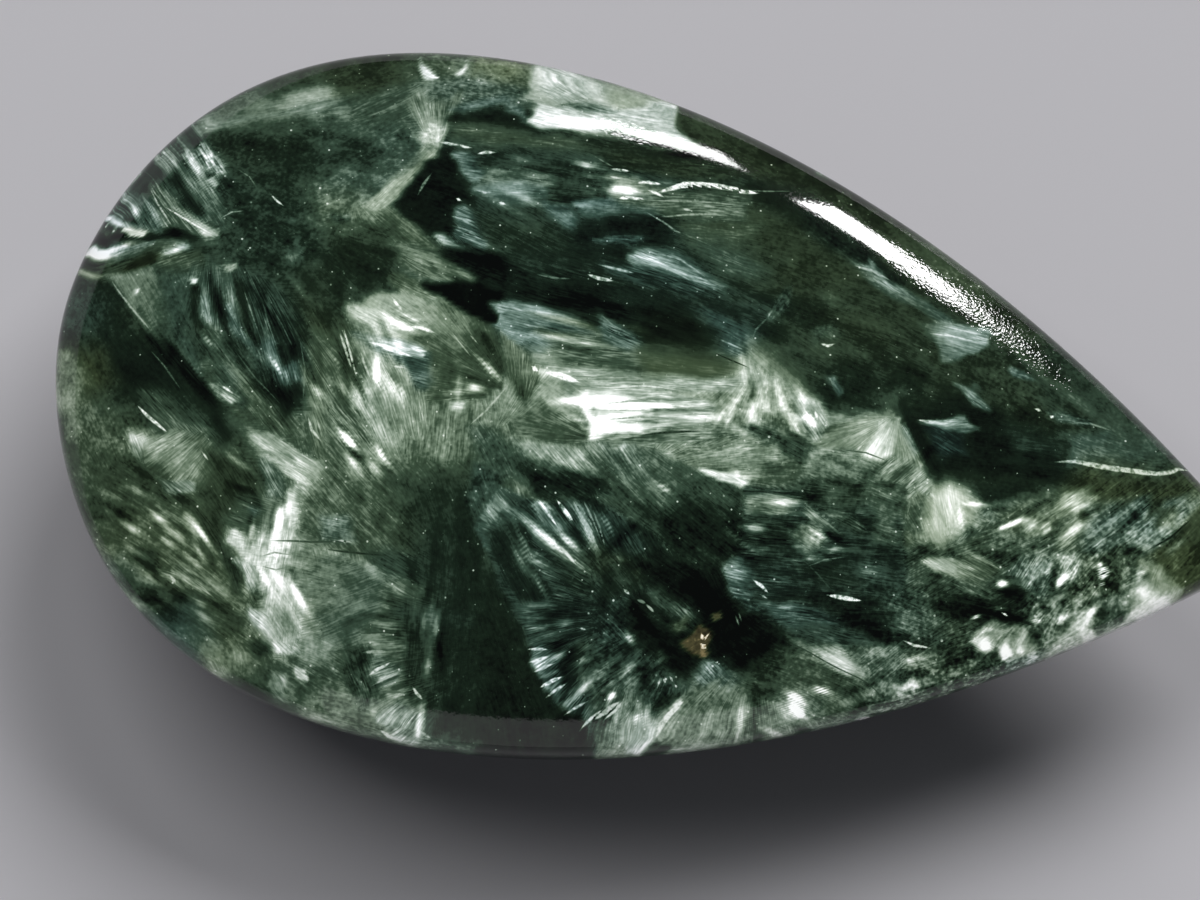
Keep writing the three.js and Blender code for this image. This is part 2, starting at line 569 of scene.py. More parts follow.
# where the polish is pitted: two places along the far edge's highlight, and one at the top
wear([(900, 235), (960, 275), (1010, 320), (1060, 370), (1100, 415), (1080, 430), (1030, 380), (990, 350),
    (940, 320), (900, 285)], 0.5, 50)
wear([(960, 265), (1000, 295), (1040, 340), (1070, 380), (1080, 400), (1050, 405), (1010, 370),
    (970, 320)], 1, 30)
wear([(420, 66), (470, 62), (530, 75), (560, 100), (660, 125), (650, 140), (600, 132), (520, 122),
    (440, 100)], 0.5, 30)

# the broad masses first
patch([(60, 300), (110, 280), (235, 430), (262, 500), (250, 600), (280, 700), (180, 650), (90, 540),
    (55, 440)], 60, 0.42, -0.5, 0.2, 0.35, 30, 10)
patch([(340, 290), (430, 290), (500, 330), (590, 340), (600, 440), (665, 455), (745, 490), (720, 590),
    (600, 560), (500, 490), (440, 540), (380, 720), (300, 710), (250, 560), (300, 440)], 75, 0.5, -0.2,
    0.3, 0.2, 30, 12)
patch([(440, 100), (620, 130), (800, 200), (960, 330), (1100, 420), (1060, 470), (900, 420), (815, 350),
    (600, 330), (490, 310), (400, 220)], (300, 60), (0.22, 0.3), 0.45, 0.4, 0.08, 30, 12)
patch([(550, 370), (740, 350), (820, 350), (930, 430), (925, 470), (800, 490), (745, 492), (620, 440)], 5,
    0.66, -0.1, 0.35, 0.12, 20, 12)
patch([(740, 490), (930, 440), (1040, 480), (1130, 450), (1220, 500), (1220, 590), (1090, 650), (900, 700),
    (760, 750), (600, 760), (640, 700), (720, 590)], 25, 0.42, -0.1, 0.3, 0.3, 30, 14)
patch([(440, 540), (520, 620), (545, 690), (600, 760), (420, 760), (400, 720)], 70, 0.1, 0, 0.1, 0.1, 20)
# the blunt end's upper part
patch([(186, 136), (240, 85), (300, 60), (400, 44), (480, 50), (440, 72), (350, 80), (300, 92), (255, 98),
    (215, 118)], -20, 0.3, -0.6, 0.1, 0.1, 10, 4)
patch([(203, 124), (240, 108), (262, 98), (300, 95), (330, 84), (352, 92), (354, 112), (300, 120),
    (255, 126), (205, 136)], -9, (0.46, 0.6), -0.1, 0.22, 0.12, 12)
patch([(290, 98), (322, 86), (352, 98), (344, 114), (302, 118)], -8, (0.62, 0.72), -0.1, 0.25, 0.12, 10)
patch([(205, 138), (260, 129), (320, 126), (345, 142), (312, 170), (300, 186), (270, 190), (250, 176),
    (215, 158)], 20, 0.2, -0.1, 0.08, 0.22, 14)
patch([(320, 130), (395, 112), (410, 150), (380, 200), (300, 225), (285, 200), (312, 170)], -30, 0.38,
    0.25, 0.12, 0.3, 18)
patch([(300, 185), (360, 195), (380, 215), (345, 235), (300, 222)], -20, 0.46, -0.3, 0.15, 0.25, 16)
patch([(205, 180), (300, 195), (300, 262), (220, 262), (226, 235)], 30, 0.27, 0.1, 0.15, 0.3, 18)
patch([(95, 222), (140, 168), (192, 124), (204, 130), (165, 160), (135, 195), (112, 228)], -50, 0.14, 0.2,
    0.15, 0.12, 10, 5)
patch([(176, 132), (200, 124), (216, 150), (240, 192), (228, 222), (200, 228), (168, 200), (150, 172)], 56,
    (0.3, 0.4), 0.2, 0.6, 0.1, 8, 10)
patch([(150, 172), (162, 178), (200, 226), (222, 232), (218, 238), (160, 232), (146, 200)], 54,
    (0.42, 0.5), 0, 0.6, 0.1, 6)
patch([(166, 168), (180, 172), (206, 216), (196, 216)], 56, 0.1, 0.1, 0.3, 0.05, 6, 6)
patch([(182, 150), (206, 146), (224, 174), (216, 178), (200, 172)], 58, (0.46, 0.6), 0.3, 0.9, 0.4, 7)
patch([(205, 128), (250, 116), (300, 106), (345, 96), (400, 86), (412, 91), (350, 106), (300, 118),
    (250, 126), (207, 135)], -11, (0.55, 0.42), 0.1, 0.35, 0.1, 7, 6)
patch([(278, 110), (300, 104), (340, 98), (345, 106), (310, 116)], -12, 0.68, 0.1, 0.4, 0.1)
patch([(207, 181), (214, 178), (221, 187), (216, 190)], 45, 0.95, 0.2, 0.1, 0.1, 4, 2)
patch([(167, 206), (180, 211), (195, 221), (212, 224), (224, 226), (221, 235), (204, 237), (186, 226)], 33,
    (0.7, 0.95), 0, 0.35, 0.05, 5, 5)
patch([(104, 206), (120, 195), (150, 200), (164, 234), (120, 232)], 58, 0.4, 0.4, 0.6, 0.15)
patch([(108, 222), (124, 222), (126, 229), (110, 231)], 10, (0.85, 0.7), 0.7, 0.3, 0.1, 4, 4)
patch([(110, 232), (124, 231), (136, 240), (163, 241), (150, 246), (114, 240)], 8, 0.06, 0.1, 0.1, 0, 4, 3)
patch([(163, 232), (220, 240), (210, 246), (165, 242)], 8, 0.1, 0, 0.2, 0.05, 6, 4)
patch([(123, 232), (134, 229), (147, 236), (143, 240), (131, 239)], 12, 0.85, -0.3, 0.2, 0, 3, 2)
patch([(94, 262), (112, 242), (130, 249), (152, 247), (138, 256), (110, 264)], -20, (0.66, 0.5), 0.5, 0.4,
    0.2, 5, 6)
patch([(163, 249), (184, 246), (194, 256), (178, 262)], 20, 0.72, 0.5, 0.5, 0.2, 6, 6)
patch([(293, 236), (301, 236), (300, 247), (294, 247)], 80, 0.95, 0.3, 0.1, 0, 4, 2)
patch([(283, 216), (296, 219), (294, 224), (284, 221)], 20, 0.8, 0.3, 0.3, 0, 3, 2)
patch([(285, 248), (300, 246), (302, 262), (288, 262)], 80, 0.6, 0.3, 0.4, 0.3, 5, 4)
line([(150, 188), (158, 204), (166, 216), (172, 226)], 2.2, 0.8)
line([(165, 206), (178, 214), (196, 226), (212, 235)], 2.4, 0.95)
line([(152, 176), (160, 190), (172, 206), (182, 214)], 1.6, 0.7)
line([(185, 150), (192, 162), (198, 170)], 1.8, 0.85)
line([(272, 196), (278, 202), (284, 206)], 2.4, 0.9)
line([(222, 218), (232, 213), (244, 212)], 1.6, 0.75)
line([(238, 170), (250, 178), (258, 190)], 1.4, 0.6)
line([(117, 228), (113, 234)], 2.4, 0.9)
# the blunt end's middle, left of the pale vein
patch([(55, 280), (82, 268), (112, 282), (165, 350), (205, 400), (240, 440), (262, 500), (225, 520),
    (160, 440), (100, 420), (50, 420)], 55, 0.17, 0, 0.14, 0.12, 16)
patch([(60, 300), (90, 285), (115, 300), (110, 325), (75, 345), (58, 350)], 60, 0.27, 0.3, 0.18, 0.18, 14)
patch([(95, 345), (160, 345), (188, 385), (180, 415), (120, 405), (92, 380)], 50, 0.07, 0, 0.06, 0.06, 16)
patch([(192, 392), (212, 398), (236, 428), (228, 442), (205, 436)], 50, 0.05, 0, 0.06, 0.03, 12, 6)
patch([(70, 345), (105, 350), (115, 385), (80, 405), (60, 395)], 60, 0.3, -0.9, 0.12, 0.15, 14, 6)
patch([(52, 352), (76, 350), (88, 372), (84, 398), (66, 408), (54, 400)], 70, 0.56, -0.4, 0.18, 0.18, 12,
    6)
patch([(55, 408), (110, 400), (140, 420), (150, 480), (80, 480)], 65, 0.33, -0.35, 0.18, 0.21, 20)
patch([(132, 392), (150, 385), (200, 420), (222, 452), (195, 440), (160, 425)], 48, 0.36, -0.1, 0.48, 0.06,
    10)
patch([(84, 262), (110, 262), (160, 250), (200, 248), (205, 270), (155, 272), (112, 279), (82, 272)], -18,
    0.36, -0.3, 0.48, 0.09)
patch([(120, 274), (134, 262), (158, 256), (150, 268), (135, 275)], -30, 0.16, -0.7, 0.24, 0.06, 6, 4)
patch([(84, 269), (100, 271), (110, 276), (100, 279), (84, 275)], 15, 0.6, -0.5, 0.24, 0.06, 4, 3)
patch([(110, 277), (128, 270), (152, 270), (158, 290), (166, 345), (150, 333), (130, 307)], 60,
    (0.55, 0.46), -0.1, 0.18, 0.12, 6, 4)
patch([(156, 270), (190, 272), (196, 300), (200, 345), (200, 385), (165, 345)], 65, 0.33, 0.25, 0.18, 0.18,
    12)
patch([(184, 276), (212, 268), (250, 275), (300, 300), (320, 345), (300, 400), (262, 400), (225, 350),
    (196, 340)], (215, 200), (0.36, 0.3), 0.25, 0.54, 0.07, 12, 10)
patch([(190, 285), (196, 284), (203, 330), (198, 345)], 80, 0.12, 0, 0.24, 0.06, 6, 4)
patch([(213, 290), (226, 300), (240, 345), (262, 395), (254, 398), (228, 350)], 68, 0.14, 0.1, 0.24, 0.06,
    8, 5)
patch([(232, 282), (245, 290), (262, 350), (252, 345), (240, 315)], 68, 0.15, 0, 0.24, 0.06, 6, 5)
patch([(218, 296), (232, 300), (246, 330), (258, 352), (240, 345), (226, 325)], 64, (0.42, 0.52), 0.5, 0.6,
    0.06, 6, 6)
patch([(200, 296), (208, 296), (214, 318), (206, 322)], 75, 0.55, 0.4, 0.6, 0.09, 6, 5)
patch([(198, 328), (215, 330), (250, 375), (300, 425), (310, 445), (275, 435), (235, 405), (205, 365)], 50,
    (0.34, 0.5), -0.25, 0.42, 0.09, 12)
patch([(203, 360), (224, 368), (250, 400), (240, 404), (214, 384)], 50, 0.28, 0.1, 0.36, 0.12, 8, 6)
patch([(252, 344), (268, 338), (300, 350), (302, 380), (282, 388), (262, 372)], 75, 0.42, 0.6, 0.54, 0.09)
patch([(274, 345), (296, 338), (298, 358), (282, 366)], 75, 0.14, 0.2, 0.24, 0.06, 6, 5)
patch([(272, 388), (298, 384), (300, 408), (284, 412)], 60, 0.05, 0, 0.12, 0.03, 10, 6)
patch([(300, 300), (340, 300), (360, 340), (340, 350), (310, 330)], 60, 0.27, -0.5, 0.24, 0.09, 14, 6)
patch([(223, 268), (236, 265), (238, 272), (228, 278), (222, 275)], -30, 0.75, -0.1, 0.36, 0.18, 4, 4)
patch([(187, 277), (193, 278), (194, 284), (189, 284)], 60, 0.95, 0.2, 0, 0, 3, 1)
patch([(133, 288), (138, 288), (139, 295), (134, 295)], 60, 0.95, 0, 0, 0, 3, 1)
patch([(206, 386), (222, 384), (238, 396), (228, 400), (212, 392)], 35, 0.5, 0, 0.6, 0.18, 5, 5)
patch([(131, 432), (150, 438), (172, 428), (200, 430), (222, 452), (240, 480), (216, 488), (170, 492),
    (148, 472)], (260, 380), (0.42, 0.6), -0.25, 0.42, 0.09)
patch([(134, 434), (150, 440), (152, 462), (160, 484), (148, 478), (139, 455)], 70, 0.66, -0.1, 0.6, 0.06,
    5, 6)
patch([(302, 330), (325, 340), (362, 345), (372, 440), (345, 490), (318, 470), (304, 400)], (265, 270),
    (0.4, 0.56), -0.3, 0.54, 0.06, 10, 10)
line([(112, 281), (122, 295), (133, 310), (150, 330)], 2.2, 0.72)
patch([(138, 312), (160, 336), (200, 384), (216, 410), (192, 396), (160, 354)], 50, 0.03, 0, 0.2, 0.03, 5)
line([(138, 405), (150, 418), (166, 432)], 3.6, 0.98)
line([(152, 352), (165, 366), (180, 388)], 2, 0.55)
line([(244, 292), (250, 310), (258, 330)], 2, 0.62)
line([(262, 303), (268, 322), (278, 350)], 1.6, 0.5)
line([(270, 305), (282, 325), (292, 345)], 1.6, 0.5)
line([(220, 345), (240, 375), (262, 405)], 2, 0.55)
line([(236, 350), (255, 378), (280, 405)], 1.6, 0.5)
line([(300, 340), (305, 370), (303, 400)], 1.6, 0.55)
line([(308, 418), (312, 430), (320, 440)], 3, 0.8)
line([(345, 330), (352, 355), (356, 375)], 2.6, 0.85)
line([(222, 386), (232, 394)], 2.6, 0.95)
line([(201, 452), (207, 460)], 2, 0.9)
# the blunt end's lower part and the white vein that bounds it
patch([(60, 460), (110, 470), (200, 500), (240, 540), (245, 600), (262, 650), (230, 700), (150, 640),
    (95, 560)], 38, 0.38, -0.5, 0.31, 0.15, 20, 10)
patch([(60, 455), (100, 462), (112, 520), (95, 545), (70, 500)], 60, 0.3, -0.3, 0.21, 0.15, 16)
patch([(112, 462), (140, 462), (165, 492), (200, 498), (170, 510), (130, 500)], 40, 0.22, -0.3, 0.28, 0.1,
    14)
patch([(205, 450), (240, 440), (262, 470), (262, 500), (238, 515), (215, 560), (195, 540), (200, 495)], 55,
    0.2, -0.4, 0.21, 0.07, 14)
patch([(222, 535), (234, 548), (242, 565), (240, 600), (228, 590)], 70, 0.18, -0.2, 0.21, 0.07, 8, 6)
patch([(148, 498), (175, 508), (182, 524), (160, 518)], 35, 0.5, -0.4, 0.49)
patch([(100, 520), (140, 518), (160, 545), (130, 560), (105, 550)], 35, 0.46, -0.5, 0.28, 0.15, 14)
patch([(138, 552), (154, 550), (156, 568), (142, 566)], 35, 0.22, -0.3, 0.14, 0.1, 8, 4)
patch([(156, 570), (185, 575), (180, 584), (160, 582)], 20, 0.58, -0.4, 0.49, 0.12, 8, 6)
patch([(150, 592), (200, 600), (240, 620), (205, 622), (165, 608)], 25, 0.24, -0.3, 0.28, 0.1, 12)
patch([(180, 560), (225, 590), (215, 602), (175, 590)], 35, 0.45, -0.4, 0.49, 0.1, 10)
patch([(104, 560), (125, 556), (152, 600), (150, 620), (125, 590)], 50, 0.46, 0.1, 0.28, 0.12, 12, 6)
patch([(140, 610), (190, 612), (212, 640), (205, 670), (165, 645)], 35, 0.42, 0.5, 0.21, 0.12, 14, 6)
patch([(215, 645), (245, 642), (250, 665), (235, 685), (212, 672)], 60, 0.55, -0.4, 0.28, 0.17, 12)
patch([(240, 668), (290, 665), (310, 705), (270, 708), (235, 690)], 35, 0.22, -0.1, 0.21, 0.1, 14)
patch([(265, 655), (300, 655), (350, 645), (355, 700), (310, 705), (275, 690)], 30, 0.38, -0.1, 0.35, 0.17,
    14)
patch([(270, 668), (288, 675), (294, 690), (278, 684)], 45, 0.56, 0, 0.56, 0.1, 6, 6)
patch([(296, 670), (306, 670), (308, 680), (298, 677)], 30, 0.8, 0, 0.56, 0.05, 4, 4)
patch([(310, 695), (345, 680), (400, 705), (420, 735), (360, 735), (310, 715)], 15, 0.48, -0.2, 0.28, 0.2,
    12)
patch([(236, 497), (262, 505), (285, 510), (280, 530), (262, 540), (245, 532), (228, 520)], 20,
    (0.34, 0.46), -0.15, 0.42, 0.05, 10)
patch([(238, 500), (262, 508), (272, 514), (255, 514)], 25, 0.55, 0.4, 0.56, 0.07, 5, 6)
patch([(263, 462), (282, 470), (283, 500), (262, 505)], 60, 0.36, 0.1, 0.49, 0.05)
patch([(252, 436), (275, 437), (300, 450), (320, 458), (321, 478), (306, 494), (298, 484), (284, 476),
    (268, 458)], 32, (0.72, 0.92), -0.15, 0.56, 0.05, 6)
patch([(282, 482), (300, 484), (312, 490), (300, 504), (300, 530), (287, 543), (270, 545), (280, 520),
    (284, 500)], (330, 515), (0.95, 0.72), -0.1, 0.56, 0.05, 6)
patch([(225, 533), (240, 530), (254, 546), (275, 538), (292, 545), (296, 560), (286, 574), (296, 590),
    (292, 612), (272, 612), (258, 598), (258, 566), (242, 556)], (340, 560), (0.95, 0.8), -0.1, 0.63, 0.06,
    5, 10)
patch([(300, 545), (312, 548), (308, 580), (292, 600), (288, 575)], 10, 0.62, -0.2, 0.56, 0.05, 10)
patch([(236, 560), (256, 562), (258, 590), (248, 588)], 60, 0.6, 0, 0.56, 0.1, 6, 6)
patch([(246, 604), (262, 606), (290, 615), (300, 640), (304, 655), (268, 656), (266, 642), (252, 622)], 45,
    (0.6, 0.75), 0.1, 0.63, 0.1, 6)
patch([(274, 618), (288, 622), (290, 635), (278, 638)], 40, 0.34, 0, 0.42, 0.07, 6, 6)
patch([(250, 640), (268, 640), (268, 652), (255, 655)], 30, 0.2, -0.1, 0.14, 0.05, 8, 4)
patch([(304, 492), (350, 480), (360, 545), (305, 548), (300, 530)], 20, 0.45, -0.2, 0.42, 0.17, 12)
patch([(300, 560), (352, 556), (356, 650), (305, 655), (295, 615)], -15, 0.48, -0.15, 0.49, 0.1, 12)
patch([(284, 574), (300, 570), (345, 565), (350, 585), (295, 590)], 0, 0.36, 0.1, 0.49, 0.05, 10)
patch([(300, 600), (345, 595), (345, 612), (302, 622)], -10, 0.56, -0.3, 0.49, 0.05)
patch([(146, 468), (160, 480), (185, 478), (197, 484), (180, 492), (160, 490)], 40, 0.62, 0, 0.7, 0.05, 5)
line([(270, 541), (290, 542), (310, 543), (345, 540)], 2, 0.28)
line([(262, 556), (274, 553), (290, 556)], 2, 0.55)
line([(262, 566), (276, 570), (288, 568)], 1.6, 0.5)
line([(170, 576), (176, 583)], 3, 0.85)
# the top, from the olive edge to the far shoulder
patch([(330, 66), (400, 60), (408, 88), (370, 96), (330, 92)], -10, 0.24, -0.5, 0.1, 0.15, 12, 6)
# painted reflection: grey-green where a grey reflection veils the far edge
patch([(400, 48), (480, 52), (470, 74), (430, 84), (402, 76)], 15, 0.36, -0.3, 0.1, 0.2, 12, 6)
patch([(345, 100), (400, 88), (440, 96), (440, 118), (400, 125), (350, 122)], -25, 0.36, 0, 0.35, 0.12, 12)
# painted reflection: speckled grey at the fuzzy left end of the far edge's highlight
patch([(428, 80), (480, 74), (525, 88), (530, 104), (500, 102), (455, 112), (440, 104)], 12, 0.42, 0.2,
    0.3, 0.3, 12)
patch([(470, 62), (530, 66), (532, 84), (500, 84), (472, 78)], 10, 0.42, -0.8, 0.12, 0.2, 10, 6)
patch([(419, 70), (428, 70), (436, 77), (426, 79)], 25, 0.9, 0.2, 0.4, 0.1, 4, 3)
patch([(452, 73), (466, 68), (470, 71), (458, 77)], -20, 0.85, 0.1, 0.4, 0.1, 4, 3)
patch([(527, 90), (534, 66), (560, 62), (610, 74), (660, 92), (715, 120), (745, 150), (690, 132),
    (640, 112), (580, 104), (545, 108), (520, 102)], 14, (0.7, 0.82), -0.05, 0.25, 0.1)
patch([(540, 72), (560, 70), (580, 82), (600, 98), (560, 100), (545, 90)], 25, 0.74, 0.1, 0.5, 0.1)
patch([(598, 82), (640, 90), (700, 122), (670, 124), (620, 108)], 22, 0.7, -0.3, 0.12, 0.12, 8, 4)
patch([(545, 104), (600, 106), (660, 120), (715, 146), (745, 170), (700, 158), (640, 142), (560, 126),
    (520, 118)], 14, (0.5, 0.74), 0.3, 0.6, 0.15)
patch([(400, 98), (412, 92), (440, 100), (455, 96), (456, 118), (446, 140), (440, 150), (424, 148),
    (412, 130)], (436, 158), (0.72, 0.4), -0.1, 0.45, 0.1, 8, 10)
patch([(418, 136), (436, 126), (446, 136), (440, 150), (424, 152)], (436, 158), 0.72, -0.1, 0.3, 0.3, 6, 6)
patch([(432, 148), (442, 156), (418, 176), (402, 200), (386, 214), (356, 209), (376, 195), (402, 172)],
    136, (0.55, 0.72), -0.3, 0.3, 0.12, 7, 6)
patch([(440, 150), (470, 153), (470, 200), (456, 206), (442, 238), (424, 234), (400, 216), (396, 205),
    (414, 182), (430, 158)], 20, 0.05, 0.1, 0.1, 0.08, 7, 6)
patch([(448, 126), (470, 113), (500, 104), (532, 114), (545, 126), (500, 131), (455, 138)], 5, 0.07, 0,
    0.1, 0.1, 9, 6)
patch([(452, 112), (500, 98), (522, 106), (530, 120), (500, 106), (465, 118)], -8, 0.5, 0.6, 0.45, 0.2)
patch([(455, 134), (500, 128), (600, 130), (690, 150), (700, 166), (600, 150), (500, 148), (456, 144)], 4,
    (0.4, 0.3), -0.25, 0.3, 0.1, 10, 6)
patch([(560, 126), (640, 126), (690, 142), (720, 165), (660, 152), (590, 140)], 12, 0.16, -0.1, 0.25, 0.1,
    10, 6)
patch([(460, 152), (500, 156), (600, 155), (640, 175), (625, 196), (560, 205), (500, 205), (474, 192)], 8,
    (0.38, 0.26), 0.15, 0.3, 0.15, 12, 10)
patch([(455, 158), (468, 154), (482, 172), (480, 188), (468, 184)], 8, (0.62, 0.45), 0.6, 0.5, 0.1, 6)
patch([(474, 192), (510, 184), (540, 192), (540, 204), (505, 202)], 4, (0.62, 0.42), 0.6, 0.35, 0.1)
patch([(470, 204), (540, 206), (575, 232), (600, 262), (520, 268), (470, 255), (478, 236)], 25, 0.2, 0,
    0.25, 0.1, 14)
patch([(450, 206), (462, 204), (484, 226), (482, 246), (456, 236)], 20, (0.55, 0.25), 0.6, 0.7, 0.05, 6,
    10)
patch([(432, 236), (442, 235), (456, 244), (482, 250), (456, 250), (442, 246)], 22, (1.0, 0.35), 0.4, 0.4,
    0.05, 5, 5)
patch([(574, 198), (600, 194), (622, 196), (622, 210), (600, 216), (580, 210)], 0, 0.6, 0.9, 0.3, 0.15, 8,
    5)
patch([(540, 204), (566, 206), (582, 222), (576, 232), (562, 226)], 30, 0.52, 0.8, 0.25, 0.15, 8, 5)
patch([(582, 216), (640, 208), (676, 226), (664, 258), (610, 270), (576, 250)], 5, 0.07, 0.3, 0.1, 0.1, 12,
    6)
patch([(590, 236), (640, 234), (660, 240), (630, 246), (592, 246)], 5, 0.3, 0.8, 0.5, 0.2, 6)
patch([(330, 212), (368, 206), (400, 215), (440, 246), (436, 268), (380, 262), (330, 245)], (352, 196),
    (0.5, 0.36), -0.25, 0.35, 0.2, 12)
patch([(380, 212), (398, 214), (425, 240), (446, 262), (410, 250), (390, 230)], 40, 0.46, -0.3, 0.3, 0.12,
    8, 6)
patch([(392, 246), (420, 246), (436, 262), (420, 270), (394, 262)], 14, 0.62, -0.2, 0.5, 0.1, 6, 10)
patch([(404, 250), (440, 254), (470, 258), (480, 268), (440, 264)], 20, 0.06, 0, 0.2, 0.05, 6, 6)
patch([(330, 214), (348, 212), (352, 222), (334, 222)], 0, 0.6, 0.1, 0.4, 0.4, 5, 5)
line([(440, 143), (450, 145), (458, 146)], 3, 0.85)
line([(457, 145), (464, 148), (471, 149)], 2.6, 0.9)
line([(478, 155), (486, 154), (496, 154)], 3.2, 0.95)
line([(431, 174), (424, 184), (419, 194)], 3, 0.55)
line([(477, 190), (484, 192), (492, 192)], 2.4, 0.85)
line([(452, 216), (462, 219), (474, 226)], 2.4, 0.7)
line([(453, 226), (465, 230), (478, 238)], 2, 0.6)
line([(505, 204), (498, 202)], 3, 0.9)
line([(596, 155), (604, 160), (614, 166)], 1.6, 0.6)
line([(612, 168), (620, 169), (630, 170)], 3, 0.98)
line([(611, 176), (620, 178)], 2.4, 0.85)
line([(625, 196), (634, 197), (645, 198)], 3, 0.98)
line([(457, 198), (461, 200)], 3, 0.95)
# the middle, where the black hollow parts the pale plumes from the bluish ones
patch([(325, 245), (395, 248), (405, 282), (355, 290), (335, 320), (325, 300)], 40, 0.17, -0.1, 0.15, 0.15,
    14)
patch([(500, 250), (640, 255), (700, 330), (640, 345), (560, 315), (500, 298)], 18, 0.14, 0.2, 0.3, 0.1,
    16)
patch([(445, 250), (500, 248), (510, 285), (470, 280)], 20, 0.02, 0.1, 0.2, 0.1, 10)
patch([(390, 244), (430, 252), (470, 279), (430, 280), (400, 270)], (360, 236), (0.34, 0.46), -0.2, 0.45,
    0.1, 6, 10)
patch([(392, 274), (430, 282), (452, 302), (430, 304), (400, 296)], 28, (0.36, 0.55), -0.3, 0.45, 0.1, 6,
    10)
patch([(424, 283), (452, 277), (482, 282), (508, 295), (498, 308), (493, 326), (478, 320), (455, 304),
    (438, 294)], 30, 0.0, 0, 0.03, 0.03, 6, 7)
patch([(405, 480), (400, 398), (440, 398), (480, 405), (500, 425), (512, 480)], 97, (0.46, 0.42), -0.25,
    0.35, 0.15, 10, 10)
patch([(350, 300), (372, 293), (402, 289), (440, 300), (472, 308), (497, 322), (508, 350), (508, 380),
    (498, 396), (465, 402), (428, 398), (412, 372), (385, 345), (356, 330)], (512, 392), (0.24, 0.74),
    -0.3, 0.25, 0.1, 7, 10)
patch([(352, 302), (380, 296), (412, 300), (440, 330), (400, 332), (362, 322)], (512, 380), (0.7, 0.74),
    -0.2, 0.35, 0.12, 10)
patch([(354, 332), (395, 338), (428, 352), (430, 380), (412, 392), (388, 366), (362, 350)], 14, 0.34, 0.5,
    0.45, 0.1)
patch([(360, 338), (398, 338), (420, 348), (424, 357), (400, 357), (376, 346)], 14, (0.6, 0.85), 0.4, 0.6,
    0.1, 5, 6)
patch([(334, 326), (344, 334), (364, 350), (386, 366), (406, 374), (424, 402), (428, 425), (404, 444),
    (408, 482), (345, 482), (325, 440), (325, 390)], (450, 590), (0.5, 0.64), -0.25, 0.5, 0.1, 8, 12)
patch([(352, 388), (376, 378), (392, 400), (390, 438), (366, 446), (350, 425)], (450, 590), 0.7, -0.1, 0.5,
    0.1, 18, 12)
patch([(322, 400), (345, 392), (352, 420), (372, 455), (365, 485), (330, 485)], 52, 0.46, -0.2, 0.6, 0.08,
    10)
patch([(505, 404), (492, 408), (508, 382), (524, 372), (542, 364), (562, 380), (582, 408), (590, 434),
    (570, 424), (545, 418), (520, 424), (484, 430), (476, 424)], (490, 440), (0.52, 0.66), -0.2, 0.3, 0.15,
    6, 5)
patch([(500, 328), (518, 340), (536, 362), (542, 385), (526, 402), (512, 384), (506, 356)], (522, 420),
    (0.4, 0.56), -0.3, 0.4, 0.08, 6)
patch([(510, 416), (548, 410), (582, 418), (592, 436), (575, 444), (545, 440), (515, 434)], (600, 440),
    (0.38, 0.5), -0.2, 0.4, 0.1)
patch([(510, 436), (548, 440), (580, 444), (604, 452), (610, 480), (560, 480), (526, 458)], 48,
    (0.72, 0.5), 0, 0.45, 0.15)
patch([(468, 428), (490, 432), (520, 452), (530, 480), (480, 480)], 60, 0.36, 0.1, 0.3, 0.2, 10)
patch([(442, 404), (466, 402), (462, 411), (446, 412)], 5, 0.8, -0.1, 0.4, 0.1, 5, 4)
patch([(494, 312), (510, 300), (532, 296), (580, 306), (640, 330), (642, 352), (580, 346), (530, 356),
    (508, 342), (496, 328)], (410, 286), (0.56, 0.36), 0.6, 0.4, 0.1, 6)
patch([(495, 312), (512, 304), (530, 316), (540, 332), (520, 344), (500, 330)], 14, (0.66, 0.5), 0.6, 0.45,
    0.1, 6)
patch([(530, 318), (590, 318), (610, 340), (560, 344), (536, 330)], 12, 0.46, -0.5, 0.3, 0.1, 10, 6)
patch([(528, 352), (580, 346), (640, 352), (660, 375), (600, 386), (560, 380)], 6, (0.6, 0.5), -0.1, 0.35,
    0.1)
patch([(590, 340), (640, 342), (650, 372), (612, 366), (596, 352)], 12, 0.6, 0.5, 0.45, 0.1, 6)
patch([(556, 374), (600, 384), (660, 372), (690, 390), (640, 396), (580, 402), (566, 390)], 2, (0.7, 0.85),
    0.2, 0.5, 0.05, 6)
line([(548, 373), (560, 376), (578, 382)], 6)
line([(508, 384), (498, 396), (486, 410), (471, 424)], 2.2, 0.75)
line([(394, 297), (398, 303), (403, 309)], 3, 0.98)
line([(411, 325), (422, 327), (434, 332)], 3.2, 0.98)
line([(370, 342), (382, 344), (396, 347)], 3, 0.98)
line([(382, 346), (396, 350), (411, 355)], 3.6)
line([(411, 346), (418, 349), (425, 350)], 3, 0.98)
line([(392, 365), (404, 367)], 2.4, 0.85)
line([(355, 307), (363, 312)], 3, 0.85)
line([(341, 334), (347, 350), (352, 368)], 3, 0.78)
line([(362, 352), (366, 366), (370, 378)], 2.6, 0.78)
line([(587, 274), (597, 278), (612, 281)], 4, 0.85)
line([(598, 264), (614, 268), (634, 273)], 3, 0.75)
line([(536, 273), (552, 276), (572, 278)], 2.2, 0.5)
line([(600, 315), (612, 325), (626, 333)], 1.4, 0.6)
line([(533, 367), (538, 371)], 5, 0.98)
line([(452, 332), (462, 345), (470, 355)], 1.6, 0.75)
line([(470, 335), (478, 344)], 1.6, 0.8)
patch([(426, 283), (452, 278), (506, 290), (500, 305), (497, 326), (482, 319), (462, 309), (442, 298)], 30,
    0, 0, 0.03, 0.03, 4, 5)
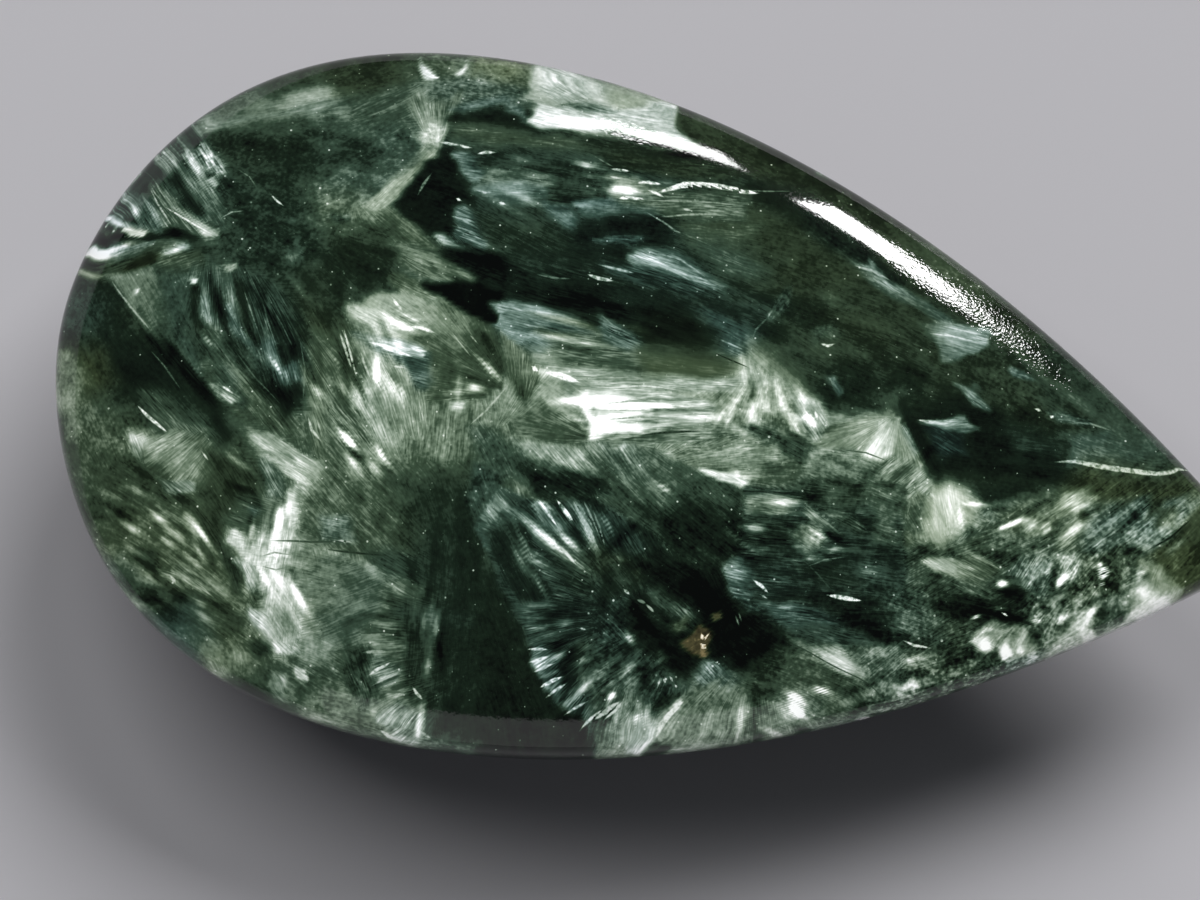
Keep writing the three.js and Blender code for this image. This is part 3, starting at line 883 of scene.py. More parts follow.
# below the middle: the near-black hollow and the round plume at its right
patch([(325, 455), (400, 458), (470, 465), (475, 520), (440, 555), (325, 552), (300, 500)], 48,
    (0.5, 0.28), -0.25, 0.33, 0.15, 14)
patch([(325, 515), (350, 515), (356, 538), (325, 542)], 10, 0.52, 0.2, 0.33, 0.26, 8, 6)
patch([(322, 556), (378, 560), (380, 600), (364, 650), (325, 650), (318, 600)], -20, 0.44, 0.05, 0.22,
    0.11, 10, 6)
patch([(368, 552), (430, 548), (465, 565), (470, 600), (420, 596), (385, 590)], 30, 0.3, 0.1, 0.39, 0.09,
    10)
patch([(398, 480), (440, 478), (480, 475), (484, 520), (490, 560), (512, 606), (526, 640), (532, 664),
    (545, 690), (575, 722), (600, 752), (520, 762), (440, 750), (430, 700), (445, 640), (450, 580),
    (420, 520)], 70, (0.2, 0.06), -0.05, 0.13, 0.11, 16, 6)
patch([(372, 618), (386, 586), (420, 586), (455, 600), (476, 640), (455, 690), (440, 718), (410, 738),
    (376, 728), (360, 700), (362, 655)], (540, 640), (0.08, 0.56), -0.1, 0.44, 0.11, 10, 12)
patch([(400, 610), (440, 600), (470, 612), (460, 635), (420, 632)], (540, 630), (0.3, 0.36), 0.3, 0.22,
    0.15, 12, 6)
patch([(362, 655), (380, 654), (402, 668), (398, 684), (372, 690)], (520, 620), (0.3, 0.7), 0.1, 0.66,
    0.11, 6)
patch([(378, 716), (400, 706), (432, 716), (430, 728), (400, 738)], (520, 640), (0.35, 0.68), 0.1, 0.66,
    0.15, 6)
patch([(385, 586), (400, 586), (420, 590), (412, 600), (392, 596)], 30, 0.55, -0.1, 0.5, 0.11, 6)
patch([(410, 726), (450, 726), (480, 730), (480, 746), (420, 744)], 10, 0.42, 0.1, 0.22, 0.26, 10, 6)
patch([(498, 481), (514, 488), (532, 497), (585, 497), (640, 515), (665, 560), (660, 640), (655, 700),
    (645, 738), (600, 754), (575, 722), (555, 702), (540, 686), (531, 664), (527, 640), (517, 615),
    (505, 590), (490, 560), (472, 527), (484, 508)], (642, 612), (0.06, 0.44), 0.4, 0.5, 0.08, 5, 4)
patch([(500, 512), (530, 520), (540, 560), (548, 600), (520, 612), (505, 588), (490, 555), (488, 530)], 60,
    0.15, 0.2, 0.17, 0.11, 10, 6)
patch([(524, 558), (536, 556), (560, 580), (570, 604), (552, 602), (536, 580)], (642, 612), (0.2, 0.42),
    0.3, 0.66, 0.08, 6, 10)
patch([(545, 535), (590, 540), (610, 575), (600, 596), (575, 590), (552, 560)], (642, 612), (0.18, 0.36),
    0.05, 0.5, 0.08, 12)
patch([(526, 498), (544, 499), (562, 524), (556, 532), (538, 516)], 50, (0.75, 0.45), 0.5, 0.55, 0.04, 5,
    6)
patch([(497, 483), (510, 487), (520, 500), (505, 508), (490, 520), (488, 508)], 50, (0.6, 0.4), 0.3, 0.55,
    0.08, 5, 5)
patch([(566, 498), (600, 500), (612, 530), (604, 556), (590, 540)], 58, (0.4, 0.15), 0.6, 0.7, 0.04)
patch([(600, 500), (650, 518), (665, 560), (640, 590), (615, 560)], 60, 0.07, 0.2, 0.33, 0.08, 12, 6)
patch([(527, 642), (545, 644), (560, 662), (566, 690), (556, 703), (540, 686), (530, 664)], (650, 600),
    (0.3, 0.72), 0.6, 0.7, 0.04, 5, 6)
patch([(516, 614), (540, 604), (556, 616), (536, 626), (526, 630)], (650, 600), (0.2, 0.5), 0.4, 0.66,
    0.08, 6, 6)
patch([(560, 704), (590, 704), (622, 706), (600, 720), (588, 732), (572, 720)], (650, 610), (0.35, 0.7),
    0.5, 0.7, 0.04, 5, 6)
patch([(580, 650), (640, 645), (655, 690), (620, 706), (585, 690)], (650, 600), (0.3, 0.46), -0.1, 0.44,
    0.09, 12)
patch([(590, 728), (625, 705), (660, 715), (690, 730), (680, 750), (600, 756)], -50, 0.46, -0.1, 0.39,
    0.22, 8, 6)
patch([(472, 466), (496, 470), (500, 480), (484, 508), (474, 522), (466, 500)], 70, 0.28, 0.3, 0.22, 0.26,
    8, 6)
patch([(472, 523), (480, 530), (488, 552), (480, 545)], 65, 0.5, 0.6, 0.33, 0.08, 4, 3)
patch([(520, 462), (560, 462), (600, 476), (612, 500), (560, 499), (532, 494)], 30, 0.12, 0.1, 0.33, 0.15,
    10)
line([(326, 549), (352, 551), (390, 557)], 2.2, 0.2)
line([(333, 541), (342, 540), (352, 541)], 3, 0.75)
line([(362, 640), (372, 635), (392, 634)], 4, 0.58)
line([(364, 652), (374, 651), (386, 651)], 3.6, 0.68)
line([(370, 675), (378, 669), (388, 663)], 4, 0.88)
line([(373, 686), (384, 680), (396, 674)], 2.6, 0.75)
line([(371, 696), (385, 693), (405, 694)], 3, 0.45)
line([(383, 721), (392, 727), (402, 730)], 3.6, 0.88)
line([(412, 688), (416, 694), (422, 700)], 3.4, 0.85)
line([(422, 722), (432, 728)], 3, 0.75)
line([(556, 500), (562, 508), (572, 520)], 4)
line([(538, 500), (546, 511), (556, 524)], 3)
line([(572, 500), (582, 520), (598, 548)], 2.4, 0.72)
line([(582, 500), (592, 520), (600, 538)], 2, 0.66)
line([(551, 538), (556, 542)], 4.5, 0.95)
line([(562, 546), (570, 556), (576, 563)], 3, 0.88)
line([(528, 649), (538, 649), (548, 650)], 3, 0.9)
line([(530, 662), (538, 660), (548, 657)], 3.4, 0.95)
line([(534, 672), (544, 668), (554, 664)], 3, 0.9)
line([(541, 687), (552, 681), (562, 677)], 4, 0.98)
line([(547, 697), (556, 690), (566, 684)], 3, 0.9)
line([(566, 714), (576, 708), (586, 703)], 3, 0.85)
line([(580, 727), (592, 718), (602, 711)], 3, 0.88)
line([(604, 720), (614, 712), (621, 703)], 3, 0.85)
line([(579, 628), (586, 630)], 2.4, 0.8)
# the far shoulder, right of the pale rim patch
patch([(672, 112), (700, 106), (770, 142), (840, 178), (910, 222), (975, 280), (1030, 335), (1100, 400),
    (1060, 400), (980, 340), (900, 280), (820, 215), (745, 178), (690, 150)], 33, 0.27, -0.5, 0.12, 0.12,
    10, 6)
patch([(700, 195), (780, 190), (850, 232), (905, 275), (900, 300), (820, 300), (740, 290), (690, 240)], 12,
    0.26, -0.45, 0.12, 0.1, 16)
patch([(736, 178), (790, 188), (830, 215), (800, 222), (750, 200)], 20, 0.13, -0.1, 0.1, 0.1, 12, 6)
patch([(800, 205), (850, 238), (905, 280), (890, 290), (840, 262), (805, 228)], 33, 0.13, 0.2, 0.2, 0.2,
    10, 6)
patch([(545, 106), (600, 108), (650, 110), (674, 112), (680, 132), (700, 147), (660, 142), (610, 130),
    (560, 126), (530, 118)], 10, 0.88, 0.15, 0.4, 0.1, 5, 6)
patch([(810, 166), (822, 172), (840, 188), (816, 188), (808, 180)], 35, 0.62, 0, 0.3, 0.1, 5, 4)
patch([(600, 148), (640, 150), (700, 158), (745, 175), (735, 185), (680, 178), (620, 168)], 8, 0.22, -0.4,
    0.2, 0.1, 9, 6)
patch([(612, 176), (640, 176), (664, 186), (720, 196), (750, 200), (740, 216), (690, 222), (655, 214),
    (622, 206)], 4, (0.56, 0.36), -0.1, 0.45)
patch([(652, 212), (700, 220), (760, 222), (760, 240), (710, 246), (680, 236)], 6, 0.38, -0.3, 0.35, 0.12,
    10)
patch([(622, 247), (650, 248), (690, 260), (722, 284), (712, 292), (672, 276), (636, 262)], 20, (0.6, 0.5),
    0.6, 0.6, 0.08, 6)
patch([(604, 266), (640, 262), (690, 282), (720, 300), (690, 300), (640, 284)], 18, (0.36, 0.2), 0.6, 0.6,
    0.06)
patch([(690, 235), (740, 245), (780, 262), (770, 285), (720, 278), (700, 258)], 22, 0.36, 0.1, 0.35, 0.1,
    12)
patch([(846, 262), (866, 266), (905, 286), (920, 300), (890, 292), (858, 274)], 24, (0.66, 0.5), 0.7, 0.6,
    0.15, 6)
line([(638, 182), (650, 181), (662, 183)], 3.4)
line([(660, 191), (685, 185), (715, 187), (760, 193)], 6.5)
line([(650, 189), (658, 192), (665, 196)], 3, 0.95)
line([(690, 186), (730, 190), (790, 192)], 2, 0.6)
line([(640, 198), (680, 201), (742, 205)], 2, 0.66)
line([(662, 216), (690, 215), (720, 215)], 2.4, 0.68)
line([(648, 211), (664, 221), (676, 231), (694, 240)], 2.2, 0.62)
line([(676, 231), (700, 242), (715, 249)], 1.6, 0.5)
line([(684, 209), (692, 211)], 2.4, 0.8)
line([(620, 198), (631, 196)], 4, 0.98)
line([(640, 258), (664, 266), (690, 280)], 2.4, 0.72)
line([(656, 252), (680, 260), (704, 276)], 2, 0.7)
line([(668, 234), (700, 233), (740, 234)], 1.4, 0.42)
line([(855, 265), (872, 270), (890, 280)], 2.4, 0.75)
# the dark flank towards the tip, with bluish feathers
patch([(860, 295), (930, 310), (1000, 350), (1080, 400), (1120, 440), (1070, 482), (940, 484), (905, 440),
    (880, 390), (850, 340)], 18, 0.2, -0.3, 0.15, 0.12, 16)
patch([(905, 395), (980, 392), (1060, 425), (1074, 480), (935, 482), (915, 440)], 10, 0.06, 0, 0.08, 0.08,
    14)
patch([(880, 320), (930, 330), (945, 375), (920, 400), (890, 380)], 20, 0.3, -0.3, 0.15, 0.1, 16, 6)
patch([(960, 350), (1040, 352), (1110, 410), (1110, 432), (1040, 430), (980, 390)], 25, 0.24, -0.3, 0.15,
    0.2, 14, 6)
patch([(1060, 432), (1100, 424), (1165, 440), (1200, 480), (1130, 474), (1080, 464)], 18, 0.42, 0.2, 0.3,
    0.15, 10, 6)
patch([(1040, 350), (1060, 355), (1140, 430), (1190, 478), (1150, 450), (1090, 420)], 40, 0.3, 0, 0.12,
    0.15, 10, 5)
patch([(864, 262), (886, 272), (916, 296), (952, 320), (928, 316), (890, 302), (868, 280)], 34,
    (0.62, 0.45), 0.5, 0.5, 0.12, 6)
patch([(914, 326), (942, 324), (988, 332), (986, 346), (970, 358), (944, 356), (934, 342)], 14,
    (0.78, 0.5), 0.45, 0.5, 0.08, 5, 7)
patch([(956, 382), (970, 386), (988, 404), (974, 404)], 35, (0.56, 0.4), 0.4, 0.5, 0.1, 6, 6)
patch([(914, 420), (944, 416), (964, 413), (976, 426), (964, 432), (942, 428)], -4, (0.75, 0.4), 0.4, 0.6,
    0.08, 5, 6)
patch([(922, 428), (962, 432), (966, 455), (940, 462), (926, 448)], 30, 0.17, 0.8, 0.4, 0.1, 8, 6)
patch([(1004, 364), (1022, 366), (1030, 376), (1010, 376)], 15, 0.5, 0.5, 0.4, 0.3, 6, 6)
patch([(1040, 404), (1060, 410), (1090, 420), (1060, 420)], 12, 0.42, 0.3, 0.4, 0.3, 6, 6)
patch([(1066, 440), (1080, 432), (1110, 432), (1090, 462), (1070, 462)], 20, 0.46, 0.3, 0.35, 0.12, 6, 6)
line([(1055, 462), (1075, 461), (1110, 467), (1182, 477)], 5, 0.82)
line([(917, 420), (930, 422), (946, 425)], 3, 0.85)
line([(930, 334), (950, 337), (972, 342)], 2, 0.9)
line([(940, 326), (956, 330), (984, 336)], 2, 0.85)
line([(1051, 415), (1054, 417)], 4, 0.95)
line([(1036, 408), (1042, 410)], 3, 0.85)
line([(1074, 422), (1090, 424), (1110, 430)], 2, 0.6)
# the pale cloud right of the middle and the fan that ends it
patch([(610, 290), (700, 296), (780, 330), (760, 350), (700, 332), (640, 318)], 18, 0.14, 0.3, 0.2, 0.1,
    12)
patch([(684, 306), (722, 314), (762, 338), (754, 362), (722, 346), (692, 324)], 26, (0.26, 0.42), 0.7, 0.4)
patch([(612, 318), (650, 318), (700, 332), (724, 354), (750, 367), (735, 380), (690, 394), (620, 386),
    (570, 366), (620, 345)], 8, 0.25, -0.3, 0.15, 0.08, 12, 4)
patch([(560, 362), (660, 356), (720, 366), (740, 374), (715, 390), (650, 396), (580, 385)], 4, 0.42, -0.2,
    0.2, 0.08, 16, 6)
patch([(790, 300), (870, 300), (930, 330), (930, 400), (880, 412), (830, 410), (800, 385), (760, 348),
    (765, 325)], 20, 0.12, -0.05, 0.15, 0.15, 12)
patch([(752, 345), (778, 350), (804, 376), (818, 402), (798, 394), (770, 378), (752, 364)], 40,
    (0.6, 0.34), -0.3, 0.2, 0.08, 12, 6)
patch([(672, 396), (700, 383), (735, 378), (750, 361), (764, 372), (790, 388), (806, 400), (816, 420),
    (800, 434), (770, 432), (740, 428), (700, 420)], (770, 350), (0.8, 0.62), -0.25, 0.2, 0.2, 12)
patch([(745, 358), (754, 360), (775, 382), (760, 392), (740, 384)], (740, 330), 0.84, -0.15, 0.2, 0.15, 8,
    5)
patch([(600, 432), (660, 428), (700, 424), (740, 430), (740, 446), (700, 450), (650, 448), (610, 446)], -4,
    0.4, -0.1, 0.5, 0.2)
patch([(652, 446), (700, 440), (745, 432), (785, 440), (806, 462), (796, 486), (750, 491), (706, 480),
    (680, 464)], (640, 470), (0.55, 0.46), -0.2, 0.5, 0.18, 7)
patch([(690, 452), (740, 446), (780, 455), (780, 475), (730, 470)], -4, 0.6, -0.15, 0.45, 0.15, 10)
patch([(742, 420), (776, 428), (782, 442), (760, 440), (745, 434)], 20, 0.3, 0, 0.3, 0.3, 8, 6)
patch([(698, 472), (720, 476), (748, 487), (742, 492), (712, 484)], 22, 0.92, 0, 0.4, 0.1, 4, 5)
patch([(790, 396), (818, 406), (832, 428), (824, 444), (810, 434), (800, 420)], 62, (0.85, 0.7), 0, 0.5,
    0.15, 7, 6)
patch([(780, 432), (806, 436), (816, 450), (800, 462), (782, 452)], 30, 0.26, 0, 0.3, 0.25)
patch([(812, 444), (830, 426), (860, 418), (890, 413), (903, 421), (924, 436), (930, 456), (912, 474),
    (888, 464), (868, 456), (844, 450)], (896, 416), (0.66, 0.55), -0.25, 0.35, 0.1, 6)
patch([(886, 418), (899, 420), (896, 445), (892, 462), (866, 456), (874, 440)], (897, 412), (0.7, 0.9),
    -0.15, 0.3, 0.1, 6, 5)
patch([(904, 425), (912, 426), (924, 444), (916, 456)], (896, 416), 0.5, 0.2, 0.5, 0.1, 5, 4)
patch([(906, 400), (918, 425), (938, 470), (926, 470), (910, 430), (896, 408)], 60, 0.06, 0, 0.1, 0.05, 6,
    5)
patch([(878, 396), (904, 392), (902, 412), (884, 412)], 70, 0.38, -0.1, 0.2, 0.1, 14, 5)
patch([(806, 328), (830, 322), (840, 338), (816, 342)], 10, 0.42, 0.4, 0.4, 0.5, 6, 6)
patch([(764, 320), (774, 298), (786, 284), (792, 284), (788, 306), (778, 322)], -60, 0.36, 0.3, 0.4, 0.4,
    6, 6)
patch([(822, 376), (834, 372), (848, 390), (840, 396)], 55, 0.46, 0.6, 0.5, 0.1, 6, 5)
patch([(818, 298), (850, 306), (848, 318), (826, 312)], 20, 0.3, 0.2, 0.3, 0.4)
patch([(602, 448), (650, 450), (690, 470), (745, 498), (742, 560), (720, 592), (690, 560), (640, 515),
    (604, 478)], 38, (0.46, 0.2), 0, 0.25, 0.16, 4.5, 3)
patch([(600, 446), (634, 446), (650, 490), (620, 480)], 55, 0.5, 0.1, 0.5, 0.15)
patch([(615, 441), (624, 440), (629, 452), (622, 454)], 60, 0.85, 0.3, 0.5, 0.1, 4, 4)
line([(716, 352), (732, 360), (748, 367)], 1.6, 0.1)
line([(844, 450), (866, 453), (886, 461)], 1.6, 0.25)
line([(820, 345), (827, 347), (833, 345)], 3, 0.9)
line([(746, 364), (735, 374)], 2, 0.66)
line([(720, 338), (734, 345), (744, 350)], 2, 0.72)
line([(752, 340), (756, 330), (768, 318)], 2, 0.5)
line([(640, 436), (670, 432), (700, 430)], 2.4, 0.2)
line([(816, 411), (818, 420)], 3, 0.95)
# the lower right: the pale cloud, the granules and the white crust along the edge
patch([(890, 545), (1000, 520), (1060, 500), (1120, 500), (1200, 500), (1205, 590), (1150, 620),
    (1050, 662), (980, 685), (880, 680)], -30, 0.3, -0.1, 0.45, 0.28, 12)
patch([(1085, 462), (1130, 468), (1200, 482), (1215, 560), (1200, 592), (1160, 596), (1150, 560),
    (1150, 520), (1110, 510), (1070, 490)], -35, 0.26, -0.8, 0.26, 0.17, 14)
patch([(1100, 514), (1140, 496), (1180, 500), (1160, 530), (1140, 545), (1110, 548), (1080, 560)], -35,
    0.42, 0.4, 0.65, 0.17, 9)
patch([(1160, 510), (1185, 505), (1200, 520), (1196, 545), (1172, 545)], -50, 0.32, -0.7, 0.26, 0.11, 10,
    6)
patch([(1150, 545), (1185, 540), (1204, 560), (1200, 588), (1170, 594), (1160, 575)], -40, 0.34, -0.9,
    0.33, 0.19, 10)
patch([(1000, 522), (1024, 506), (1052, 496), (1064, 506), (1060, 535), (1030, 540), (1000, 545),
    (960, 550), (975, 532)], -35, (0.34, 0.44), -0.45, 0.39, 0.19, 12)
patch([(1022, 520), (1032, 516), (1042, 522), (1034, 534), (1022, 532)], -40, 0.72, -0.3, 0.39, 0.17, 8, 6)
patch([(1036, 506), (1050, 502), (1050, 512), (1040, 514)], -30, 0.6, -0.3, 0.39, 0.17, 7, 5)
patch([(1056, 500), (1068, 488), (1092, 488), (1096, 494), (1082, 514), (1060, 518)], -35, (0.6, 0.68),
    -0.45, 0.45, 0.08, 9)
patch([(1060, 520), (1082, 514), (1110, 512), (1096, 524), (1086, 545), (1072, 558), (1062, 548)], -40,
    (0.5, 0.66), -0.35, 0.52, 0.11, 9)
patch([(1084, 510), (1104, 508), (1116, 512), (1100, 520), (1086, 520)], -20, 0.16, -0.6, 0.13, 0.06, 7, 5)
patch([(1092, 538), (1120, 524), (1156, 540), (1150, 552), (1120, 548), (1100, 556)], -30, 0.34, -0.3,
    0.39, 0.22, 9)
patch([(1076, 550), (1110, 545), (1135, 560), (1130, 585), (1100, 612), (1082, 615), (1066, 590)], -50,
    0.38, -0.3, 0.52, 0.44, 9)
patch([(1062, 560), (1076, 556), (1084, 572), (1078, 590), (1066, 582)], -60, 0.62, -0.1, 0.52, 0.39, 7)
patch([(1006, 572), (1020, 555), (1046, 555), (1052, 585), (1046, 606), (1028, 600), (1020, 585)], -55,
    0.5, 0.15, 0.65, 0.33, 7)
patch([(1000, 582), (1018, 580), (1026, 590), (1020, 602), (1000, 600)], 10, 0.06, -0.1, 0.13, 0.08, 6, 6)
patch([(1024, 596), (1052, 600), (1066, 612), (1060, 632), (1040, 640), (1024, 625)], -50, 0.44, -0.1,
    0.52, 0.44, 9)
patch([(888, 458), (905, 462), (928, 470), (944, 486), (930, 496), (900, 500), (882, 480)], -38,
    (0.5, 0.72), -0.15, 0.65, 0.11)
patch([(1000, 525), (960, 500), (978, 506), (990, 520), (985, 540), (960, 552), (946, 540)], -50, 0.4,
    0.15, 0.45, 0.22, 10)
patch([(900, 505), (918, 492), (936, 487), (962, 490), (978, 502), (970, 520), (956, 532), (950, 545),
    (926, 538), (905, 530), (894, 518)], (905, 470), (0.56, 0.76), -0.45, 0.26, 0.07, 10)
patch([(938, 492), (960, 494), (964, 512), (954, 530), (940, 538), (932, 520)], 80, 0.76, -0.4, 0.3, 0.04,
    14, 10)
patch([(888, 520), (908, 522), (916, 540), (896, 545), (880, 536)], 40, 0.5, -0.4, 0.39, 0.06, 9, 6)
patch([(946, 540), (990, 534), (1030, 540), (1040, 552), (1000, 556), (960, 560)], -20, 0.32, -0.2, 0.52,
    0.22, 10)
patch([(924, 560), (944, 554), (980, 558), (1002, 568), (996, 584), (978, 592), (958, 582), (936, 572)],
    28, (0.66, 0.42), -0.3, 0.59, 0.08, 7)
patch([(926, 562), (944, 557), (960, 566), (958, 576), (938, 572)], 30, 0.74, -0.2, 0.39, 0.06, 7, 5)
patch([(958, 580), (985, 588), (1000, 600), (976, 598), (950, 590)], 25, 0.3, -0.1, 0.52, 0.17)
patch([(936, 600), (975, 600), (1010, 612), (1020, 628), (980, 622), (940, 616)], 10, 0.07, -0.1, 0.26,
    0.17)
patch([(945, 622), (975, 625), (968, 650), (948, 655)], -20, 0.3, -0.2, 0.52, 0.39, 9)
patch([(880, 655), (940, 650), (975, 655), (1000, 665), (980, 682), (880, 684)], -15, 0.36, -0.2, 0.52,
    0.44, 10)
patch([(970, 655), (1010, 655), (1016, 668), (985, 676)], 0, 0.14, 0, 0.39, 0.5)
patch([(974, 636), (990, 628), (1012, 627), (1028, 640), (1024, 652), (1000, 650), (980, 652)], -45,
    (0.84, 0.66), -0.2, 0.39, 0.22, 7)
patch([(975, 640), (988, 640), (994, 650), (980, 652)], -40, 0.95, -0.2, 0.26, 0.11, 5, 5)
patch([(1000, 650), (1040, 644), (1052, 650), (1030, 662), (1002, 664)], -25, 0.5, 0.3, 0.39, 0.5)
patch([(1036, 652), (1046, 638), (1062, 622), (1076, 612), (1080, 596), (1094, 620), (1112, 616),
    (1122, 604), (1134, 592), (1142, 575), (1156, 570), (1168, 578), (1168, 596), (1180, 602), (1140, 622),
    (1080, 648), (1036, 664)], -30, 0.78, -0.15, 0.33, 0.25)
patch([(1126, 602), (1138, 590), (1146, 580), (1160, 582), (1162, 600), (1146, 606), (1130, 612)], -35,
    0.92, -0.2, 0.2, 0.17, 8, 6)
patch([(1140, 562), (1154, 560), (1168, 575), (1170, 590), (1160, 580), (1146, 574)], -60, 0.66, -0.5,
    0.26, 0.11, 8, 6)
patch([(1080, 622), (1092, 620), (1092, 630), (1082, 632)], 10, 0.95, -0.2, 0.13, 0.22, 4, 5)
# painted glints: the white ring round this pit and the white dot below it
patch([(1100, 574), (1106, 570), (1112, 574), (1111, 581), (1104, 583), (1099, 579)], 0, 0.98, 0, 0.13,
    0.06, 2.5, 3)
patch([(1104, 575), (1107, 574), (1108, 577), (1105, 578)], 0, 0.08, 0, 0.13, 0.06, 2, 1)
patch([(1103, 585), (1106, 584), (1107, 587), (1104, 588)], 0, 0.98, 0, 0.13, 0.06, 2, 1)
patch([(1128, 506), (1136, 502), (1134, 508), (1120, 516)], -35, 0.78, -0.1, 0.26, 0.06, 3, 3)
line([(1064, 554), (1084, 540), (1106, 524), (1130, 508)], 3.2, 0.62)
line([(1072, 557), (1096, 541), (1118, 524)], 2.2, 0.5)
# a painted glint: a short white line
line([(1002, 612), (1007, 615)], 3, 0.98)
line([(903, 640), (914, 645), (930, 648)], 2.8, 0.92)
line([(1150, 548), (1172, 536), (1190, 520)], 2.4, 0.12)
line([(1066, 470), (1100, 476), (1132, 476)], 1, 0.2)
# the lower middle: the grey block, the black hollow with its painted glints and the teal fibres
patch([(590, 490), (640, 525), (700, 570), (640, 590), (600, 600), (590, 640)], 62, 0.16, 0.2, 0.44, 0.14,
    12)
patch([(592, 505), (606, 512), (640, 545), (625, 560), (604, 552)], 60, (0.34, 0.2), 0.5, 0.5, 0.08)
patch([(590, 552), (620, 556), (650, 572), (630, 584), (595, 580)], 50, 0.2, -0.5, 0.38, 0.17, 14)
patch([(596, 496), (640, 500), (700, 490), (738, 502), (746, 530), (734, 556), (716, 576), (690, 562),
    (655, 534), (625, 520)], 40, (0.36, 0.24), 0, 0.38, 0.17, 6, 5)
patch([(604, 478), (640, 478), (668, 500), (660, 525), (640, 518), (612, 498)], 45, 0.42, 0, 0.44, 0.14,
    12)
patch([(648, 540), (668, 552), (700, 572), (724, 590), (742, 606), (765, 624), (785, 640), (802, 650),
    (800, 672), (770, 684), (730, 676), (700, 684), (668, 672), (640, 652), (618, 640), (628, 606),
    (650, 590)], 35, 0.04, 0, 0.12, 0.07, 10)
patch([(698, 575), (712, 560), (726, 560), (724, 600), (705, 605)], 60, 0.04, 0, 0.12, 0.03, 10, 5)
patch([(590, 600), (622, 600), (634, 640), (660, 668), (690, 690), (660, 720), (600, 725), (590, 700)],
    (700, 600), (0.2, 0.4), 0.35, 0.44, 0.22, 12)
patch([(596, 604), (622, 596), (632, 620), (620, 640), (598, 640)], 50, 0.26, 0.5, 0.5, 0.33, 12)
patch([(650, 592), (662, 588), (692, 606), (708, 634), (700, 640), (680, 626), (660, 610)], 42,
    (0.42, 0.2), 0.1, 0.62, 0.17, 9)
patch([(672, 620), (684, 616), (690, 622), (684, 628), (674, 628)], 20, 0.44, -0.4, 0.38, 0.28, 6, 4)
patch([(676, 641), (692, 632), (701, 624), (713, 627), (718, 636), (714, 646), (706, 656), (692, 655),
    (684, 648)], -30, 0.36, -2, 0.38, 0.28, 5, 4)
patch([(700, 651), (708, 650), (712, 655), (706, 660), (700, 657)], -30, 0.42, -2.6, 0.25, 0.17, 4, 2)
patch([(714, 615), (723, 613), (725, 619), (718, 622)], 0, 0.45, -1.6, 0.25, 0.22, 4, 3)
patch([(696, 668), (712, 660), (728, 664), (744, 684), (736, 700), (716, 690), (700, 684)], 45,
    (0.46, 0.3), 0.5, 0.62, 0.28, 9)
patch([(590, 655), (640, 660), (668, 676), (660, 690), (620, 690), (590, 690)], (700, 610), (0.3, 0.42),
    0.2, 0.5, 0.28, 10)
patch([(590, 690), (640, 686), (655, 700), (640, 730), (600, 740), (590, 722)], (640, 640), (0.3, 0.5),
    0.1, 0.44, 0.17, 10)
patch([(668, 700), (700, 688), (745, 690), (800, 696), (838, 716), (810, 730), (745, 745), (690, 750),
    (655, 752), (652, 738)], (760, 640), (0.46, 0.56), -0.1, 0.31, 0.19, 10)
patch([(640, 744), (670, 736), (730, 738), (770, 735), (745, 748), (690, 754), (648, 756)], -5, 0.64, 0,
    0.31, 0.17, 8, 5)
patch([(600, 740), (625, 746), (640, 756), (610, 757)], -5, 0.6, 0, 0.38, 0.17, 8, 5)
patch([(640, 734), (655, 726), (672, 735), (655, 744), (640, 744)], -20, 0.2, -0.1, 0.25, 0.11, 6, 5)
patch([(652, 702), (664, 690), (684, 690), (680, 698), (662, 712)], -45, 0.1, 0, 0.25, 0.22, 6, 5)
patch([(642, 700), (650, 700), (656, 716), (652, 724), (643, 720)], (646, 670), (0.6, 0.9), 0.1, 0.62,
    0.06, 7, 6)
patch([(622, 720), (634, 700), (640, 712), (636, 740), (626, 742)], (640, 690), (0.35, 0.6), 0.1, 0.62,
    0.06, 7)
patch([(634, 728), (652, 718), (656, 722), (638, 744), (629, 744)], -55, 0.7, 0.2, 0.62, 0.06, 6, 6)
patch([(770, 650), (800, 648), (832, 664), (860, 680), (888, 692), (884, 706), (850, 712), (800, 700),
    (745, 696), (750, 672)], 20, 0.32, -0.15, 0.31, 0.25, 8, 4)
patch([(790, 664), (830, 668), (846, 684), (820, 700), (790, 700)], 20, 0.42, -0.2, 0.31, 0.22, 12)
patch([(770, 700), (800, 690), (826, 694), (822, 716), (780, 718)], 20, 0.52, 0, 0.38, 0.22, 10)
patch([(838, 686), (864, 684), (890, 694), (880, 708), (850, 706)], 20, 0.2, -0.1, 0.25, 0.22, 7, 5)
patch([(802, 718), (830, 714), (880, 708), (910, 700), (900, 714), (850, 725), (812, 732)], -8, 0.58, 0.1,
    0.38, 0.22, 6, 6)
patch([(812, 726), (836, 722), (832, 730), (814, 732)], -8, 0.74, 0.1, 0.38, 0.11, 5, 4)
patch([(745, 494), (800, 494), (880, 490), (905, 520), (900, 605), (830, 640), (760, 625), (735, 600),
    (738, 545)], 4, 0.21, 0.25, 0.56, 0.14, 6, 5)
patch([(742, 498), (780, 496), (808, 500), (796, 512), (770, 524), (744, 520)], 6, (0.6, 0.44), -0.1, 0.62,
    0.11, 9)
patch([(744, 520), (790, 520), (792, 540), (742, 545)], 6, 0.28, 0.1, 0.62, 0.11, 10)
patch([(800, 488), (880, 480), (900, 490), (850, 500), (806, 500)], 0, 0.16, -0.1, 0.5, 0.22)
patch([(804, 504), (812, 506), (846, 536), (838, 534), (812, 522)], 38, (0.56, 0.42), 0, 0.5, 0.08, 6, 5)
